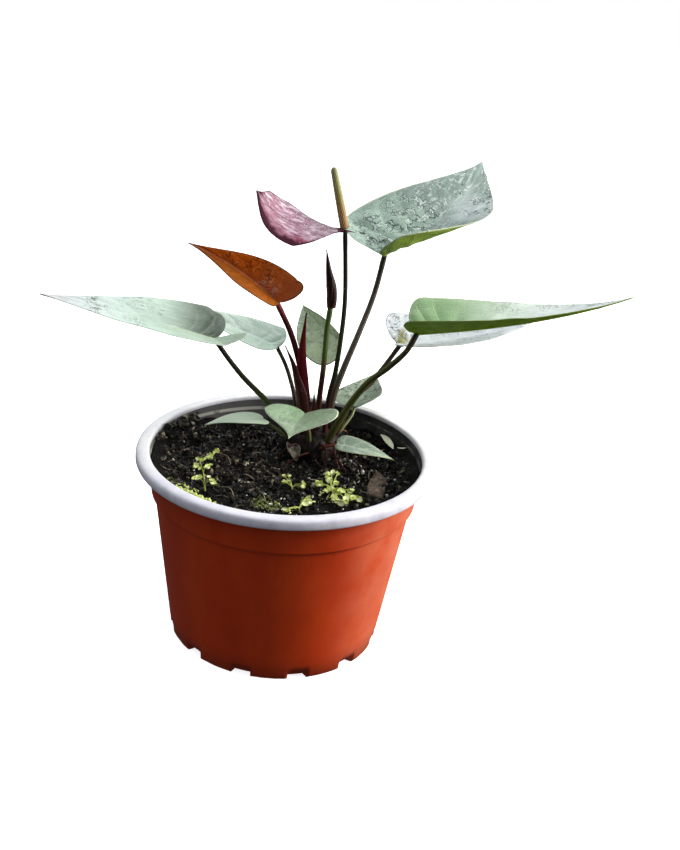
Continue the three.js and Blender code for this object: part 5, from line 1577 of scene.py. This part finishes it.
def lone_grains():
    """The few grains that lie apart and catch the eye, each at its own place and of its own size."""
    x, y, size = np.array([(-22, -19, 1.9), (-51.7, 39.1, 1.2), (33.5, 15.8, 1.3), (39, 14.2, 1.1),
                           (39.8, 2.5, 1.5), (51.5, -20.3, 1.4), (-46, -8, 0.8), (12, -8, 0.7),
                           (30.3, 37, 1.5)]).T
    random = np.random.default_rng(92)
    places = np.stack([x, y, soil_height(x, y) + 0.7], -1)
    sizes = size[:, None] * random.uniform(0.6, 1.1, (len(x), 3)) * (1.3, 0.8, 0.7)
    return strewn("lone_grains", lump(8, 6), places, sizes, random, (0.4, 0.9), grit, "bark")


def old_fibres():
    """Grey strands that lean on the soil."""
    paths = [[(-33.5, 9.6, 91.2), (-30, 4, 92.6), (-27.8, -1.9, 91.4)],
             [(-30.2, -27.5, 91.2), (-26, -31, 92.4), (-23.7, -36, 91)],
             [(-18, 12.5, 91.4), (-15.5, 13.4, 92), (-13.3, 13.4, 91.4)],
             [(-12, -30, 91), (-10, -34, 92.6), (-8, -40, 91)]]
    points, faces, share, _ = joined([tube(path, lambda t: 0.42 * (1 - 0.6 * t), 7, 16) for path in paths])
    return make_piece("old_fibres", points, faces, straw, "bark", values={"shade": 0.5 + 0.4 * share})


def wall_crumbs(count=150):
    """Wet crumbs thrown against the wall on the left."""
    random = np.random.default_rng(93)
    angle = np.radians(random.triangular(136, 154, 174, count))
    places = wall_places(random, angle, random.triangular(93, 95, 99.6, count), (0.5, 2.6))
    sizes = random.uniform(0.4, 1.3, (count, 1)) * random.uniform(0.5, 1.1, (count, 3)) * (1.4, 1, 1)
    return strewn("wall_crumbs", shard(), places, sizes, random, (0.2, 1.15), peat, "potting_soil",
                  smooth=False)


chip_finish = woody_finish("chip_bark", {0.36: (34, 27, 22), 0.48: (74, 62, 50), 0.6: (116, 100, 84),
                                         0.74: (156, 144, 126)})
make_piece("chip_split", *chip_shape(), chip_finish, "bark", ["bark_chip"])
withered = woody_finish("withered_leaf", {0.35: (58, 52, 44), 0.48: (92, 88, 76), 0.62: (138, 134, 118),
                                          0.75: (176, 172, 156)})
pale = woody_finish("pale_husk", {0.35: (214, 222, 176), 0.5: (240, 244, 212), 0.7: (252, 253, 238)})
litter_leaf("withered_leaf", [(0.5, 20, 96.5), (3, 14, 95), (5.2, 7.5, 91.6)], 3.6, 0.5, withered)
litter_leaf("pale_sliver", [(49.8, 39.4, 96.4), (52, 35.4, 96.2), (53.8, 30.9, 95.6), (56, 24.7, 95.2)],
            2.0, 0.3, pale)
litter_leaf("pale_curl", [(58, 24.6, 96.2), (60.4, 23, 96.6), (62.8, 24.8, 96.4)], 0.6, 0.2, pale)
print("litter faces:", [len(o.data.polygons) for o in (lone_grains(), old_fibres(), wall_crumbs())])

# %% [markdown]
# It has rained on the leaves. A drop is a lens of water: a flattened ball, half sunk in the
# blade, clear and with the index of water. Six leaves have patches of drops, given as ranges of
# the two shares of their surface, and each drop lies on the surface's own normal.

# %% Water drops
def water_finish():
    """Clear water. Its index, and nothing else, makes the dark rim and the bright point."""
    material, tree = new_finish("water")
    constants = {"Base Color": (1, 1, 1, 1), "IOR": 1.33, "Transmission Weight": 1.0}
    return close_finish(material, constants, Roughness=0.01 + 0.04 * tree.place().noise(400, 2))


DROP_LENGTHS, DROP_WIDTH, DROP_HEIGHT = (0.8, 1.7), 0.8, 0.42
# leaf: (how many, size in mm, share down the rib, share outward, side of the rib)
DROP_PATCHES = {
    "upper_right": [
        (46, (0.7, 1.9), (0.02, 0.42), (0.1, 0.9), -1), (46, (0.7, 1.9), (0.02, 0.4), (0.1, 0.9), 1),
        (30, (0.6, 1.5), (0.4, 0.95), (0.7, 0.97), -1), (20, (0.5, 1.2), (0.45, 0.9), (0.1, 0.9), 1),
    ],
    "long_right": [(24, (0.3, 0.6), (0.5, 0.95), (0.1, 0.9), 1)],
    "second_right": [(30, (0.4, 0.9), (0.0, 0.35), (0.3, 0.95), 1)],
    "long_left": [
        (34, (0.45, 0.9), (0.55, 0.72), (0.3, 0.98), -1), (20, (0.35, 0.7), (0.2, 0.8), (0.2, 0.9), 1),
    ],
    "young": [(16, (0.3, 0.55), (0.2, 0.9), (0.2, 0.9), -1)],
    "low_back": [(16, (0.3, 0.55), (0.1, 0.9), (0.1, 0.9), 1)],
}


def leaf_drops(name, random):
    """Place, size and turn of each drop on one leaf, from its top surface's points and normals."""
    top, normal = leaf_tops[name]
    rows, wide = top.shape[:2]
    places, sizes, turns = [], [], []
    for count, size, down, outward, side in DROP_PATCHES[name]:
        i = (random.uniform(*down, count) * (rows - 1)).astype(int)
        j = ((side * random.uniform(*outward, count) + 1) / 2 * (wide - 1)).astype(int)
        up = normal[i, j]
        level = unit(np.cross(up, (0.3, 0.2, 1.0)))
        turns.append(np.stack([level, np.cross(up, level), up], -1))
        places.append(top[i, j])
        radius = size[0] + (size[1] - size[0]) * random.uniform(0, 1, (count, 1)) ** 2
        long = random.uniform(*DROP_LENGTHS, (count, 1))
        sizes.append(radius * np.hstack([long, 0 * long + DROP_WIDTH, 0 * long + DROP_HEIGHT]))
    return np.concatenate(places), np.concatenate(sizes), np.concatenate(turns)


drop_random = np.random.default_rng(91)
drop_sets = [leaf_drops(name, drop_random) for name in DROP_PATCHES]
drop_points, drop_faces = repeated(*lump(12, 8), *(np.concatenate(part) for part in zip(*drop_sets)))
make_piece("water_drops", drop_points, drop_faces, water_finish())
print("drops:", sum(len(part[0]) for part in drop_sets))

# %% [markdown]
# The plant stands on a plain white floor in soft studio light: a broad light overhead and a
# little behind, a warm one on the right, and a weak one on the left. Behind it all is an even
# white, so the lamps are hidden from the camera. The floor gives off a little light of its own, so that
# only a faint shadow shows at the base.

# %% Floor and light
FLOOR_HALF = 4.0
LAMP_AIM = np.array([0.0, 0.0, 0.13])


def make_floor():
    """One large quad level with the feet; it adds no bounce of its own to the plant."""
    mesh = bpy.data.meshes.new("floor")
    corners = [(x * FLOOR_HALF, y * FLOOR_HALF, 0) for x, y in ((-1, -1), (1, -1), (1, 1), (-1, 1))]
    mesh.from_pydata(corners, [], [(0, 1, 2, 3)])
    material, _ = new_finish("white_floor")
    mesh.materials.append(close_finish(material, {"Base Color": (0.9, 0.9, 0.9, 1), "Roughness": 0.9,
                                                  "Emission Color": (1, 1, 1, 1), "Emission Strength": 0.8}))
    floor = bpy.data.objects.new("floor", mesh)
    floor.visible_diffuse = floor.visible_glossy = False
    bpy.context.scene.collection.objects.link(floor)


def softbox(name, place, size, power, colour):
    """A square area light that looks at the plant's middle."""
    data = bpy.data.lights.new(name, "AREA")
    data.size, data.energy, data.color = size, power, colour
    lamp = bpy.data.objects.new(name, data)
    lamp.visible_camera = False
    back = unit(np.array(place, float) - LAMP_AIM)
    right = unit(np.cross((0.0, 0.001, 1.0), back))
    stand(lamp, right, np.cross(back, right), back, place)


def make_world():
    """White to the camera. To all else a cool grey dome, from 0.1 at the sides to 0.8 overhead."""
    world = bpy.data.worlds.new("studio")
    world.use_nodes = True
    world.node_tree.nodes.clear()
    tree = Link(world.node_tree)
    seen = tree.node("LightPath", out="Is Camera Ray")
    glow = 0.1 + tree.node("TexCoord", out="Generated").axis("Z").between(0.05, 0.9) * 0.7
    around = tree.node("Background", {}, {"Color": (0.93, 0.97, 1.0, 1), "Strength": glow})
    behind = tree.node("Background", {}, {"Color": (1, 1, 1, 1), "Strength": 1.0})
    mixed = tree.node("MixShader", {}, {0: seen, 1: around, 2: behind})
    tree.node("OutputWorld", {}, {"Surface": mixed})
    bpy.context.scene.world = world


make_floor()
softbox("overhead", (-0.05, 0.55, 0.85), 0.7, 4.5, (0.97, 0.99, 1.0))
softbox("warm_side", (0.8, 0.0, 0.4), 0.4, 12.0, (1.0, 0.96, 0.9))
softbox("left_fill", (-0.6, 0.5, 0.5), 0.5, 0.6, (0.9, 0.96, 1.0))
make_world()
bpy.context.scene.view_settings.view_transform = "Standard"
print("lights:", len(bpy.data.lights))

# %% Update the view layer
bpy.context.view_layer.update()
